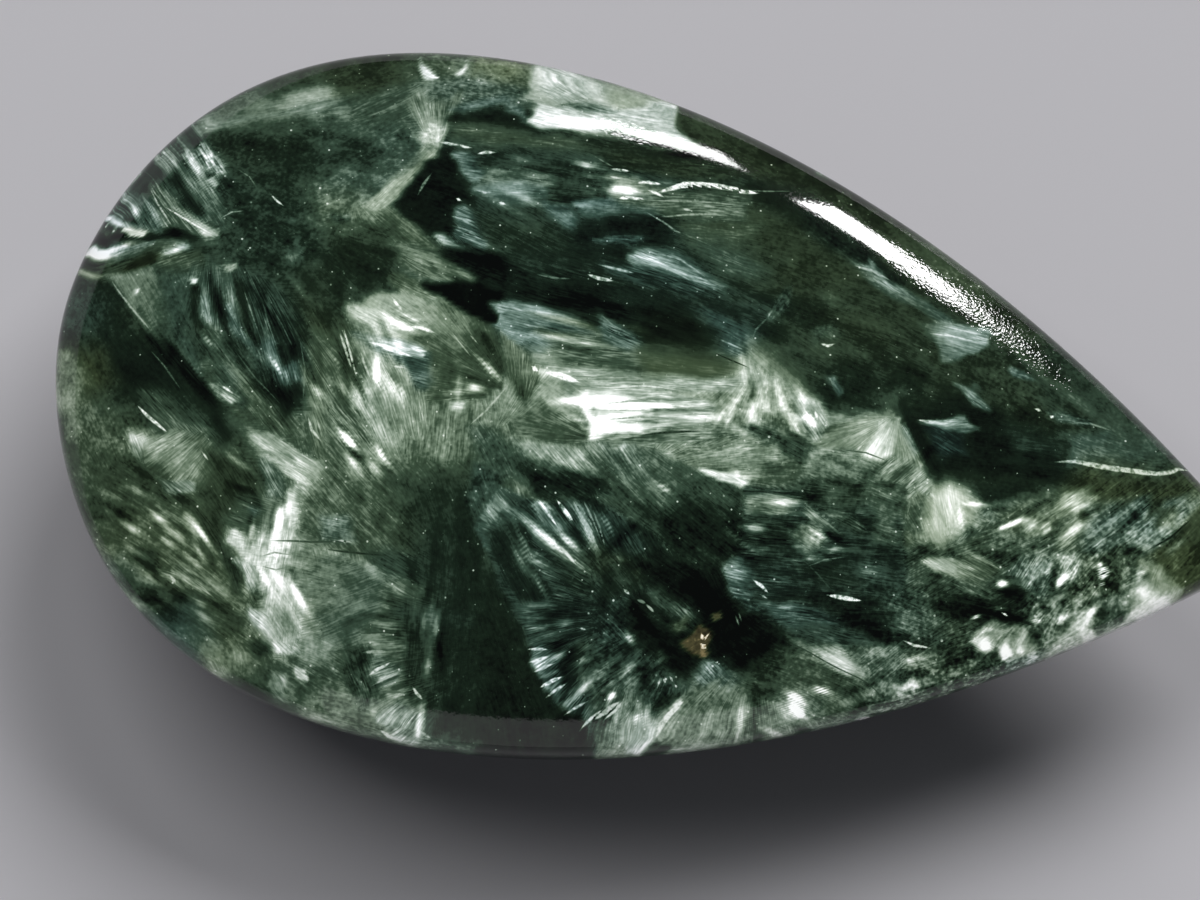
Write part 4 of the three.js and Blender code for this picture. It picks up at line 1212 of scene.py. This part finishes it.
patch([(790, 532), (812, 524), (822, 530), (820, 546), (806, 550), (796, 542)], 30, 0.64, -0.1, 0.38, 0.22,
    8, 6)
patch([(818, 508), (846, 512), (868, 520), (860, 534), (840, 528)], 28, 0.32, 0, 0.5, 0.17, 9)
patch([(792, 546), (815, 549), (860, 548), (884, 556), (866, 563), (830, 556), (808, 556)], 4,
    (0.82, 0.48), 0.15, 0.62, 0.06, 5, 7)
patch([(806, 566), (836, 560), (862, 566), (880, 590), (850, 592), (826, 584)], 10, 0.14, 0.1, 0.38, 0.11,
    9, 6)
patch([(842, 560), (900, 560), (905, 604), (866, 598)], 10, 0.14, 0.3, 0.38, 0.17, 12)
patch([(760, 596), (800, 600), (880, 604), (900, 610), (900, 640), (870, 645), (850, 636), (838, 622),
    (800, 606)], 4, 0.07, 0.1, 0.25, 0.17, 10)
patch([(756, 604), (790, 604), (820, 610), (836, 622), (850, 634), (820, 632), (790, 632), (770, 622)], 8,
    (0.52, 0.4), 0.6, 0.62, 0.11)
patch([(766, 624), (800, 624), (850, 628), (872, 642), (850, 650), (810, 648), (785, 640)], 12, (0.5, 0.3),
    0.3, 0.5, 0.11, 9)
patch([(786, 640), (800, 640), (840, 648), (866, 662), (880, 680), (862, 678), (832, 664), (802, 650)], 24,
    (0.56, 0.72), -0.05, 0.38, 0.14, 6, 4)
patch([(818, 650), (846, 654), (862, 664), (850, 672), (830, 663)], 24, 0.84, 0, 0.31, 0.08, 6, 4)
patch([(852, 650), (900, 640), (905, 700), (888, 692), (866, 676)], -40, 0.42, 0.05, 0.44, 0.33, 9)
patch([(719, 572), (730, 560), (742, 556), (756, 566), (758, 590), (748, 604), (732, 602), (722, 592)], 12,
    (0.5, 0.25), 0.6, 0.62, 0.11, 5, 3)
patch([(738, 600), (752, 600), (762, 616), (750, 616)], 20, 0.36, 0.5, 0.5, 0.22, 6, 5)
patch([(745, 568), (790, 560), (800, 590), (762, 600)], 8, 0.26, 0.4, 0.5, 0.11, 10)
line([(753, 580), (760, 585), (767, 592)], 3.4, 0.97)
line([(760, 594), (765, 597)], 2.4, 0.95)
line([(828, 595), (845, 597), (862, 600)], 4.6)
line([(806, 568), (824, 561), (846, 558)], 1.8, 0.55)
line([(800, 560), (816, 574), (832, 590)], 1.8, 0.36)
line([(594, 720), (606, 712), (618, 703)], 5, 0.8)
line([(655, 728), (666, 717), (684, 701)], 5, 0.92)
line([(592, 510), (598, 525), (604, 545)], 2.4, 0.6)
# painted glints: the white points on and beside the golden inclusion
line([(702, 634), (704, 641)], 3.4)
line([(704, 642), (709, 635)], 3)
line([(702, 645), (707, 649)], 6)
line([(717, 663), (720, 664)], 3.4)
line([(735, 615), (739, 625)], 2.2, 0.6)
line([(738, 612), (741, 620)], 2, 0.55)
line([(624, 588), (629, 593)], 3, 0.85)
line([(636, 598), (645, 602)], 3.4, 0.55)
line([(645, 603), (653, 611)], 3, 0.7)
line([(657, 686), (659, 680)], 2.6, 0.85)
line([(663, 679), (665, 683)], 2.6, 0.9)
line([(670, 677), (673, 682)], 2.6, 0.85)
line([(675, 685), (677, 688)], 2.6, 0.9)
line([(782, 640), (830, 664), (882, 690)], 1.6, 0.22)
# where the plumes run into each other
patch([(505, 283), (600, 288), (650, 318), (610, 324), (566, 314), (522, 300)], 16, 0.03, 0.1, 0.28, 0.06,
    9)
patch([(496, 306), (520, 304), (566, 318), (600, 328), (590, 340), (530, 334), (502, 326)], 14,
    (0.64, 0.25), 0.55, 0.55, 0.07, 7)
patch([(545, 338), (600, 332), (640, 346), (700, 366), (650, 378), (560, 372)], 7, (0.42, 0.3), -0.1, 0.5,
    0.06, 10, 10)
patch([(600, 318), (624, 326), (640, 340), (628, 348), (600, 340)], 24, (0.5, 0.3), 0.5, 0.66, 0.07, 8, 10)
patch([(640, 306), (690, 312), (720, 346), (700, 350), (650, 335)], 14, 0.05, -0.2, 0.11, 0.03, 12, 6)
patch([(640, 350), (700, 352), (742, 366), (730, 378), (680, 386), (640, 380)], 6, (0.36, 0.42), -0.6,
    0.13, 0.03, 12, 6)
patch([(566, 374), (620, 376), (700, 382), (740, 378), (730, 392), (660, 398), (590, 396)], 2,
    (0.74, 0.66), -0.05, 0.55, 0.07, 9, 10)
patch([(580, 394), (620, 391), (680, 398), (712, 412), (700, 428), (660, 437), (612, 436), (591, 434),
    (592, 418), (585, 404)], -2, (1.02, 0.7), -0.05, 0.55, 0.05, 5)
patch([(604, 440), (650, 440), (700, 434), (712, 440), (660, 448), (612, 448)], -3, 0.5, -0.1, 0.6, 0.07,
    7)
line([(600, 404), (630, 402), (662, 404)], 2, 0.6)
line([(604, 420), (640, 418), (690, 420)], 2.4, 0.58)
line([(596, 411), (622, 411), (650, 413)], 1.6, 0.62)
line([(604, 388), (640, 387), (676, 390)], 1.8, 0.9)
patch([(336, 322), (352, 330), (362, 360), (358, 392), (340, 400), (330, 360)], 64, 0.34, -0.3, 0.44, 0.07,
    9, 10)
patch([(386, 356), (404, 370), (402, 392), (386, 386)], 64, 0.48, -0.2, 0.55, 0.07, 9)
patch([(225, 185), (300, 195), (330, 230), (300, 265), (240, 262), (226, 230)], 30, 0.18, 0.1, 0.17, 0.21,
    16, 8, 0.7)
patch([(280, 150), (320, 150), (320, 190), (290, 200), (262, 180)], 20, 0.16, 0, 0.11, 0.17, 14, 8, 0.8)
patch([(290, 262), (330, 268), (340, 300), (300, 305)], 50, 0.14, -0.2, 0.17, 0.1, 14, 8, 0.8)
patch([(185, 330), (240, 335), (268, 368), (236, 372), (200, 356)], 55, 0.2, 0.1, 0.44, 0.14, 12, 10, 0.8)
patch([(232, 534), (252, 536), (262, 514), (290, 500), (300, 530), (312, 560), (294, 590), (300, 650),
    (278, 650), (262, 612), (250, 585), (246, 558)], 100, 0.78, -0.1, 0.44, 0.21, 11, 10, 0.65)
patch([(228, 418), (262, 432), (300, 452), (290, 470), (250, 452)], 35, 0.6, -0.1, 0.44, 0.14, 12, 8, 0.6)
patch([(300, 540), (345, 560), (340, 610), (305, 620), (292, 585)], 10, 0.52, -0.2, 0.33, 0.17, 14, 10,
    0.7)
patch([(300, 636), (334, 640), (336, 668), (300, 668)], 20, 0.62, 0, 0.33, 0.21, 12, 8, 0.8)
patch([(350, 645), (372, 650), (384, 700), (366, 706), (352, 680)], 70, 0.26, 0, 0.44, 0.21, 9)
patch([(420, 520), (470, 520), (480, 600), (470, 720), (430, 715), (424, 600)], 95, 0.16, 0.1, 0.17, 0.1,
    16, 8, 0.7)
patch([(650, 520), (735, 515), (735, 556), (715, 574), (690, 560), (664, 540)], 40, 0.05, 0, 0.28, 0.21,
    12, 5, 0.9)
patch([(592, 580), (624, 580), (620, 620), (596, 620)], 45, 0.16, 0.3, 0.33, 0.21, 14, 8, 0.8)
patch([(820, 286), (920, 300), (938, 350), (880, 368), (828, 350), (812, 318)], 20, 0.27, -0.5, 0.22, 0.1,
    18, 8, 0.8)
patch([(770, 240), (840, 262), (870, 292), (800, 300), (760, 280)], 20, 0.25, -0.5, 0.22, 0.14, 16, 8, 0.7)
patch([(700, 130), (760, 150), (790, 180), (760, 178), (722, 160)], 25, 0.3, -0.6, 0.22, 0.1, 10, 8, 0.8)
patch([(790, 172), (870, 214), (960, 280), (1010, 320), (985, 316), (900, 256), (830, 210)], 35, 0.3, -0.6,
    0.22, 0.14, 9, 6, 0.8)
patch([(540, 200), (600, 198), (660, 208), (650, 220), (590, 218), (548, 212)], 3, 0.46, 0.6, 0.44, 0.14,
    10, 10, 0.7)
patch([(1096, 512), (1140, 498), (1186, 504), (1176, 536), (1150, 552), (1110, 552), (1086, 545)], -38,
    0.5, 0.3, 0.66, 0.35, 10, 10, 0.8)
patch([(880, 590), (925, 590), (935, 640), (890, 640)], 20, 0.34, 0.2, 0.55, 0.42, 12, 10, 0.7)
patch([(860, 690), (900, 672), (960, 664), (1010, 660), (990, 682), (940, 694), (880, 712)], -15, 0.42, 0,
    0.44, 0.49, 9, 8, 0.8)
patch([(800, 480), (850, 486), (870, 510), (840, 520), (806, 505)], 8, 0.36, 0, 0.55, 0.21, 10, 10, 0.8)
patch([(985, 528), (1040, 538), (1030, 556), (985, 552)], -20, 0.5, -0.1, 0.44, 0.35, 10, 8, 0.7)
patch([(980, 486), (1020, 486), (1010, 506), (985, 505)], 0, 0.1, 0, 0.11, 0.14, 10, 6)
patch([(905, 500), (925, 498), (925, 530), (900, 530)], 60, 0.42, -0.1, 0.44, 0.21, 9, 8, 0.8)
patch([(320, 130), (370, 130), (380, 165), (330, 175)], 10, 0.22, 0, 0.3, 0.1, 14, 8, 0.7)
patch([(330, 225), (390, 225), (392, 262), (335, 258)], 20, 0.15, -0.2, 0.3, 0.1, 12, 8, 0.7)
patch([(398, 205), (420, 200), (438, 232), (424, 238), (405, 222)], 20, 0.06, 0, 0.05, 0.05, 7, 6)
patch([(1010, 430), (1060, 438), (1064, 464), (1010, 455)], 8, 0.3, 0.3, 0.4, 0.1, 12, 8, 0.7)
patch([(1040, 648), (1080, 634), (1110, 622), (1150, 606), (1176, 600), (1130, 630), (1060, 658)], -24,
    0.74, 0, 0.3, 0.2, 8, 8, 0.8)
patch([(670, 500), (735, 504), (736, 540), (716, 556), (690, 545)], 40, 0.12, 0, 0.3, 0.1, 12, 5, 0.7)
patch([(770, 318), (830, 335), (862, 360), (820, 372), (785, 350)], 35, 0.34, -0.3, 0.3, 0.1, 12, 8, 0.7)
patch([(880, 310), (930, 330), (935, 380), (895, 370)], 30, 0.3, -0.3, 0.3, 0.1, 12, 8, 0.6)
patch([(1020, 360), (1075, 395), (1090, 415), (1050, 410)], 40, 0.32, 0.1, 0.3, 0.1, 10, 8, 0.6)
patch([(95, 470), (150, 472), (160, 500), (105, 510)], 30, 0.4, -0.4, 0.3, 0.15, 12, 8, 0.8)
patch([(820, 480), (880, 484), (886, 500), (830, 505)], 5, 0.4, -0.1, 0.4, 0.15, 10, 8, 0.7)
patch([(868, 482), (900, 484), (902, 545), (872, 545)], 20, 0.5, -0.1, 0.4, 0.2, 9, 8, 0.8)
patch([(125, 578), (165, 590), (175, 610), (140, 605)], 30, 0.5, -0.2, 0.3, 0.2, 8, 8, 0.8)
patch([(1090, 598), (1118, 590), (1128, 612), (1100, 622)], -40, 0.6, 0, 0.3, 0.3, 8, 8, 0.8)
patch([(150, 385), (175, 392), (210, 425), (180, 420)], 48, 0.14, 0, 0.3, 0.1, 7, 6, 0.8)
patch([(355, 318), (392, 320), (385, 352), (360, 350)], 64, 0.4, -0.1, 0.4, 0.1, 8, 8, 0.6)
patch([(545, 378), (585, 386), (586, 412), (560, 410)], 30, 0.45, -0.2, 0.3, 0.1, 8, 8, 0.6)
patch([(600, 560), (640, 560), (640, 595), (605, 600)], 50, 0.08, 0, 0.3, 0.1, 8, 8, 0.8)
patch([(1150, 500), (1180, 505), (1178, 530), (1152, 525)], -50, 0.24, -0.5, 0.3, 0.2, 8, 8, 0.8)
patch([(270, 580), (300, 575), (310, 605), (290, 640), (262, 640)], 60, 0.6, -0.1, 0.4, 0.1, 8, 8, 0.6)
patch([(400, 600), (425, 605), (428, 680), (410, 680)], 95, 0.4, 0, 0.3, 0.1, 8, 8, 0.6)

# short bright streaks in the liveliest plumes, and then fainter ones all over
for count, length, width, strength, outline in (
    (150, 13, 2.7, 0.14, [(105, 230), (150, 160), (200, 135), (235, 180), (225, 240), (150, 268),
     (85, 268)]),
    (110, 16, 2.7, 0.09, [(190, 275), (300, 285), (320, 400), (260, 400), (200, 330)]),
    (60, 26, 2.7, 0.16, [(585, 395), (700, 396), (690, 428), (600, 433)]),
    (60, 24, 2.7, 0.1, [(500, 300), (640, 320), (700, 350), (560, 350)]),
    (120, 20, 2.7, 0.07, [(490, 490), (600, 500), (620, 560), (560, 600), (500, 570)]),
    (150, 11, 2.7, 0.14, [(520, 600), (560, 600), (600, 660), (620, 720), (580, 725), (530, 660)]),
    (110, 12, 2.7, 0.15, [(335, 350), (400, 380), (400, 470), (340, 470)]),
    (110, 14, 2.7, 0.14, [(740, 360), (820, 400), (830, 440), (700, 420)]),
    (60, 22, 2.7, 0.1, [(540, 105), (640, 115), (720, 150), (700, 160), (560, 125)]),
    (160, 12, 2.7, 0.1, [(95, 470), (200, 500), (240, 620), (150, 620)]),
    (200, 5, 2.4, 0.2, [(1000, 545), (1140, 545), (1150, 600), (1020, 650), (960, 650)]),
    (100, 6, 2.4, 0.16, [(600, 600), (650, 600), (690, 700), (600, 740)]),
    (80, 16, 2.7, 0.12, [(480, 150), (640, 160), (700, 200), (500, 220)]),
    (100, 12, 2.7, 0.13, [(230, 440), (310, 460), (300, 600), (250, 600)]),
    (120, 12, 2.7, 0.1, [(400, 300), (500, 320), (510, 390), (420, 400), (360, 330)]),
    (160, 10, 2.7, 0.1, [(350, 560), (440, 590), (450, 700), (400, 735), (340, 680)]),
    (140, 14, 2.7, 0.1, [(600, 450), (740, 470), (800, 450), (880, 470), (880, 530), (750, 560),
     (620, 500)]),
    (140, 12, 2.7, 0.1, [(900, 470), (1000, 500), (1100, 500), (1060, 560), (920, 560)]),
    (140, 10, 2.7, 0.1, [(700, 690), (850, 690), (980, 660), (960, 690), (800, 730), (690, 745)]),
):
    plumes.streak(count, length, width, strength, outline)
plumes.streak(900, 26, 4, 0.07)
plumes.streak(500, 45, 9, 0.06)
store(mesh, "look", "FLOAT_VECTOR", "POINT", np.stack([plumes.tone, plumes.tint, plumes.silk], axis=1))
store(mesh, "grain", "FLOAT", "POINT", plumes.grain)
store(mesh, "worn", "FLOAT", "POINT", plumes.worn)
store(mesh, "lie", "FLOAT_VECTOR", "CORNER", plumes.lies(plumes.top))
store(mesh, "lie_under", "FLOAT_VECTOR", "CORNER", plumes.lies(plumes.under))
store(mesh, "over", "FLOAT", "CORNER", plumes.over)
store(mesh, "vein", "FLOAT_VECTOR", "CORNER", plumes.vein)
write_places(stone.data, places * MM)


# The colours and the polish. A point's tone, broken up by fibres, threads and specks, picks a
# colour from a green, a bluish, an olive or a golden ramp. The polish is nearly a mirror.
class Wire:
    """A value in a material's nodes that can be calculated with."""

    def __init__(self, socket):
        self.socket = socket
        self.tree = socket.id_data

    def maths(self, operation, *others):
        node = self.tree.nodes.new("ShaderNodeMath")
        node.operation = operation
        for place, value in enumerate((self, *others)):
            plug(self.tree, node.inputs[place], value)
        return Wire(node.outputs[0])

    def __add__(self, other):
        return self.maths("ADD", other)

    def __radd__(self, other):
        return self.maths("ADD", other)

    def __sub__(self, other):
        return self.maths("SUBTRACT", other)

    def __rsub__(self, other):
        return self.maths("MULTIPLY", -1).maths("ADD", other)

    def __mul__(self, other):
        return self.maths("MULTIPLY", other)

    def __rmul__(self, other):
        return self.maths("MULTIPLY", other)

    def __truediv__(self, other):
        return self.maths("DIVIDE", other)

    def limited(self):
        return self.maths("MAXIMUM", 0).maths("MINIMUM", 1)


def plug(tree, socket, value):
    if isinstance(value, Wire):
        tree.links.new(value.socket, socket)
    else:
        socket.default_value = value


class Finish:
    """A material whose nodes are added one after another."""

    def __init__(self, name):
        self.material = bpy.data.materials.new(name)
        self.material.use_nodes = True
        self.tree = self.material.node_tree
        self.shader = self.tree.nodes["Principled BSDF"]

    def node(self, kind, settings, inputs, output):
        node = self.tree.nodes.new(kind)
        for name, value in settings.items():
            if name == "stops":
                ramp = node.color_ramp
                while len(ramp.elements) < len(value):
                    ramp.elements.new(1)
                for element, (place, colour) in zip(ramp.elements, value):
                    element.position = place
                    element.color = (*colour, 1)
            else:
                setattr(node, name, value)
        for name, value in inputs.items():
            plug(self.tree, node.inputs[name], value)
        return Wire(node.outputs[output])

    def set(self, **values):
        for name, value in values.items():
            plug(self.tree, self.shader.inputs[name.replace("_", " ")], value)


GRAINS_PER_METRE = 25250  # about one for each of the photo's pixels
SPECK_CELLS = 125
SPECK_RARITY = 0.42
stone_finish = Finish("seraphinite_polish")
make = stone_finish.node
here = make("ShaderNodeTexCoord", {}, {}, "Object")
skin_place = make("ShaderNodeUVMap", {"uv_map": "OFBake"}, {}, "UV")


def stored(name, output):
    return make("ShaderNodeAttribute", {"attribute_name": name}, {}, output)


def one_of(vector, axis):
    return make("ShaderNodeSeparateXYZ", {}, {"Vector": vector}, axis)


def stretched(scale_along, scale_across):
    """Unevenness drawn out along the fibres, from about -1 to 1."""
    drawn = []
    for fibres in (lie_under, lie):
        place = make(
            "ShaderNodeMapping", {},
            {"Vector": fibres, "Scale": (1 / scale_along, 1 / scale_across, 1)}, "Vector",
        )
        noise = {"Vector": place, "Scale": 1, "Detail": 2}
        drawn.append(make("ShaderNodeTexNoise", {}, noise, "Fac"))
    return (drawn[0] + (drawn[1] - drawn[0]) * over - 0.5) * 4


def speckled(size, detail):
    """Unevenness that runs no way in particular, from about -1 to 1."""
    noise = {"Vector": here, "Scale": GRAINS_PER_METRE / size, "Detail": detail}
    return (make("ShaderNodeTexNoise", {}, noise, "Fac") - 0.5) * 4


def specked(output):
    """Small cells over the skin's map, for the bright specks, partly painted glints."""
    cells = {"Vector": skin_place, "Scale": SPECK_CELLS}
    return make("ShaderNodeTexVoronoi", {"voronoi_dimensions": "2D"}, cells, output)


def ramp(*stops):
    """The colour that goes with the pattern's tone."""
    return make("ShaderNodeValToRGB", {"stops": stops}, {"Fac": value}, "Color")


def mixed(share, first, second):
    colours = {"Factor": share, "A": first, "B": second}
    return make("ShaderNodeMix", {"data_type": "RGBA"}, colours, "Result")


look = stored("look", "Vector")
tone = one_of(look, "X")
tint = one_of(look, "Y")
silk = one_of(look, "Z")
vein = stored("vein", "Vector")
vein_gap = one_of(vein, "X")
vein_half = one_of(vein, "Y")
vein_tone = one_of(vein, "Z")
lie = stored("lie", "Vector")
lie_under = stored("lie_under", "Vector")
over = stored("over", "Fac")
grain = stored("grain", "Fac")
worn = stored("worn", "Fac")

# the tone, roughened by fibres and grains, with threads and bright specks over it; the bright
# fibres carry painted sheen, and the specks are partly white specks and partly painted glints
strands = stretched(14, 1.7)
bundles = stretched(36, 7)
flecks = speckled(4, 2)
clouds = speckled(16, 2)
value = tone + silk * (strands * (0.31 + bundles * 0.24) + bundles * 0.2)
value = value + grain * (flecks * 0.4 + clouds * 0.5)
vein_rough = (vein_half * 1.2) * (1 + strands * 0.15) - vein_gap.maths("ABSOLUTE")
vein_amount = (vein_rough * 0.8 + 0.2).limited() * vein_half.maths("GREATER_THAN", 0.02)
vein_amount = vein_amount * (0.85 + flecks * 0.5 + bundles * 0.2).limited()
value = value + (vein_tone - value) * vein_amount
speck_chance = one_of(specked("Color"), "X")
speck_size = (speck_chance - SPECK_RARITY) * (0.17 + grain * 0.25)
speck_and_glint_amount = ((speck_size - specked("Distance")) * 14 + 0.2).limited()
speck_and_glint_amount = speck_and_glint_amount * speck_chance.maths("GREATER_THAN", SPECK_RARITY)
speck_and_glint_amount = speck_and_glint_amount * (clouds * 1.6 + bundles * 0.6 + 0.2).limited()
value = value + (0.92 - value) * speck_and_glint_amount * 0.8
value = value.limited()

# a tint of 1 is bluish, -1 is olive and -2 is golden
green = ramp(
    (0, (0.0005, 0.001, 0.0007)), (0.2, (0.0065, 0.0145, 0.0078)), (0.4, (0.033, 0.062, 0.039)),
    (0.55, (0.13, 0.187, 0.136)), (0.7, (0.295, 0.36, 0.3)), (0.85, (0.575, 0.63, 0.58)),
    (1, (0.92, 0.94, 0.93)),
)
bluish = ramp(
    (0, (0.0005, 0.001, 0.0012)), (0.2, (0.006, 0.014, 0.011)), (0.4, (0.028, 0.064, 0.054)),
    (0.55, (0.105, 0.178, 0.163)), (0.7, (0.26, 0.362, 0.36)), (0.85, (0.55, 0.645, 0.68)),
    (1, (0.9, 0.95, 1)),
)
olive = ramp(
    (0, (0.0006, 0.001, 0.0004)), (0.2, (0.009, 0.0145, 0.005)), (0.4, (0.04, 0.061, 0.025)),
    (0.55, (0.135, 0.18, 0.095)), (0.7, (0.315, 0.375, 0.25)), (0.85, (0.6, 0.65, 0.53)),
    (1, (0.91, 0.93, 0.86)),
)
cooled = mixed(tint.limited(), green, bluish)
warmed = mixed((tint * -1).limited(), cooled, olive)
golden = ramp(
    (0, (0.004, 0.003, 0.002)), (0.4, (0.06, 0.055, 0.024)), (0.6, (0.24, 0.19, 0.09)),
    (1, (0.9, 0.85, 0.7)),
)
colour = mixed((tint * -1 - 1).limited(), warmed, golden)
dents = speckled(3.4, 1)
height = strands * 0.12 + flecks * 0.1 + worn * (dents * 2.6 + flecks)
relief = make("ShaderNodeBump", {}, {"Strength": 1, "Distance": 0.000001, "Height": height}, "Normal")
stone_finish.set(Base_Color=colour, Roughness=0.04, IOR=1.5, Normal=relief)
mesh.materials.clear()
mesh.materials.append(stone_finish.material)
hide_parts("cabochon")
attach(stone, "root")


# A plain pale board, with the stone held clear of it by a small block that it hides, because
# the photograph's shadow lies well away from the tip.
BOARD_DEPTH = 0.0075
BOARD_SIZE = 8
BLOCK_RADIUS = 0.006
BLOCK_PLACE = -0.006
BLOCK_CLEARANCE = 0.0001
bpy.ops.object.select_all(action="DESELECT")
bpy.ops.mesh.primitive_plane_add(size=BOARD_SIZE, location=(0, 0, -BOARD_DEPTH))
floor = bpy.context.object
floor.name = "pale_board"
board = Finish("pale_board")
board.set(Base_Color=(0.62, 0.61, 0.64, 1), Roughness=0.55)
floor.data.materials.append(board.material)
bpy.ops.object.select_all(action="DESELECT")
bpy.ops.mesh.primitive_cylinder_add(
    vertices=64, radius=BLOCK_RADIUS, depth=BOARD_DEPTH - BLOCK_CLEARANCE,
    location=(BLOCK_PLACE, 0, -BOARD_DEPTH / 2),
)
block = bpy.context.object
block.name = "hidden_block"
block.data.materials.append(board.material)


# The light. Two wide soft lights from behind give the long shadow and aren't mirrored in the
# polish, and a third fills the stone from the front. The rest are seen only as reflections.
def card(name, azimuth, elevation, distance, width, height, watts, roll=0):
    """A flat light turned to the stone, with its angles in degrees and its sizes in metres."""
    turn = math.radians(azimuth)
    lift = math.radians(elevation)
    toward = Vector((
        math.cos(turn) * math.cos(lift), math.sin(turn) * math.cos(lift), math.sin(lift)
    ))
    bpy.ops.object.light_add(type="AREA", location=toward * distance)
    light = bpy.context.object
    light.name = name
    light.rotation_mode = "QUATERNION"
    light.rotation_quaternion = (
        toward.to_track_quat("Z", "Y") @ Quaternion((0, 0, 1), math.radians(roll))
    )
    light.data.shape = "RECTANGLE"
    light.data.size = width
    light.data.size_y = height
    light.data.energy = watts
    light.visible_camera = False
    return light


stone_only = bpy.data.collections.new("stone_only")
stone_only.objects.link(stone)
card("back_light", 71, 44.5, 1.2, 0.7, 0.55, 9.9).visible_glossy = False
card("side_light", 144, 60, 1.2, 0.8, 0.6, 4.6).visible_glossy = False
fill = card("front_fill", 268, 55, 1.2, 1, 0.8, 12)
fill.visible_glossy = False
fill.light_linking.receiver_collection = stone_only
card("right_window", 72.4, 12.6, 1.05, 0.162, 0.1, 1.5, -18).visible_diffuse = False
card("left_window", 84.8, 12.8, 1.034, 0.15, 0.052, 0.5, 30).visible_diffuse = False
card("room_front", 277, 15.7, 1, 0.68, 0.6, 0.85).visible_diffuse = False
world = bpy.data.worlds.new("room")
world.use_nodes = True
world.node_tree.nodes["Background"].inputs["Color"].default_value = (0.9, 0.95, 1, 1)
world.node_tree.nodes["Background"].inputs["Strength"].default_value = 0.06
bpy.context.scene.world = world
bpy.context.scene.view_settings.view_transform = "Standard"
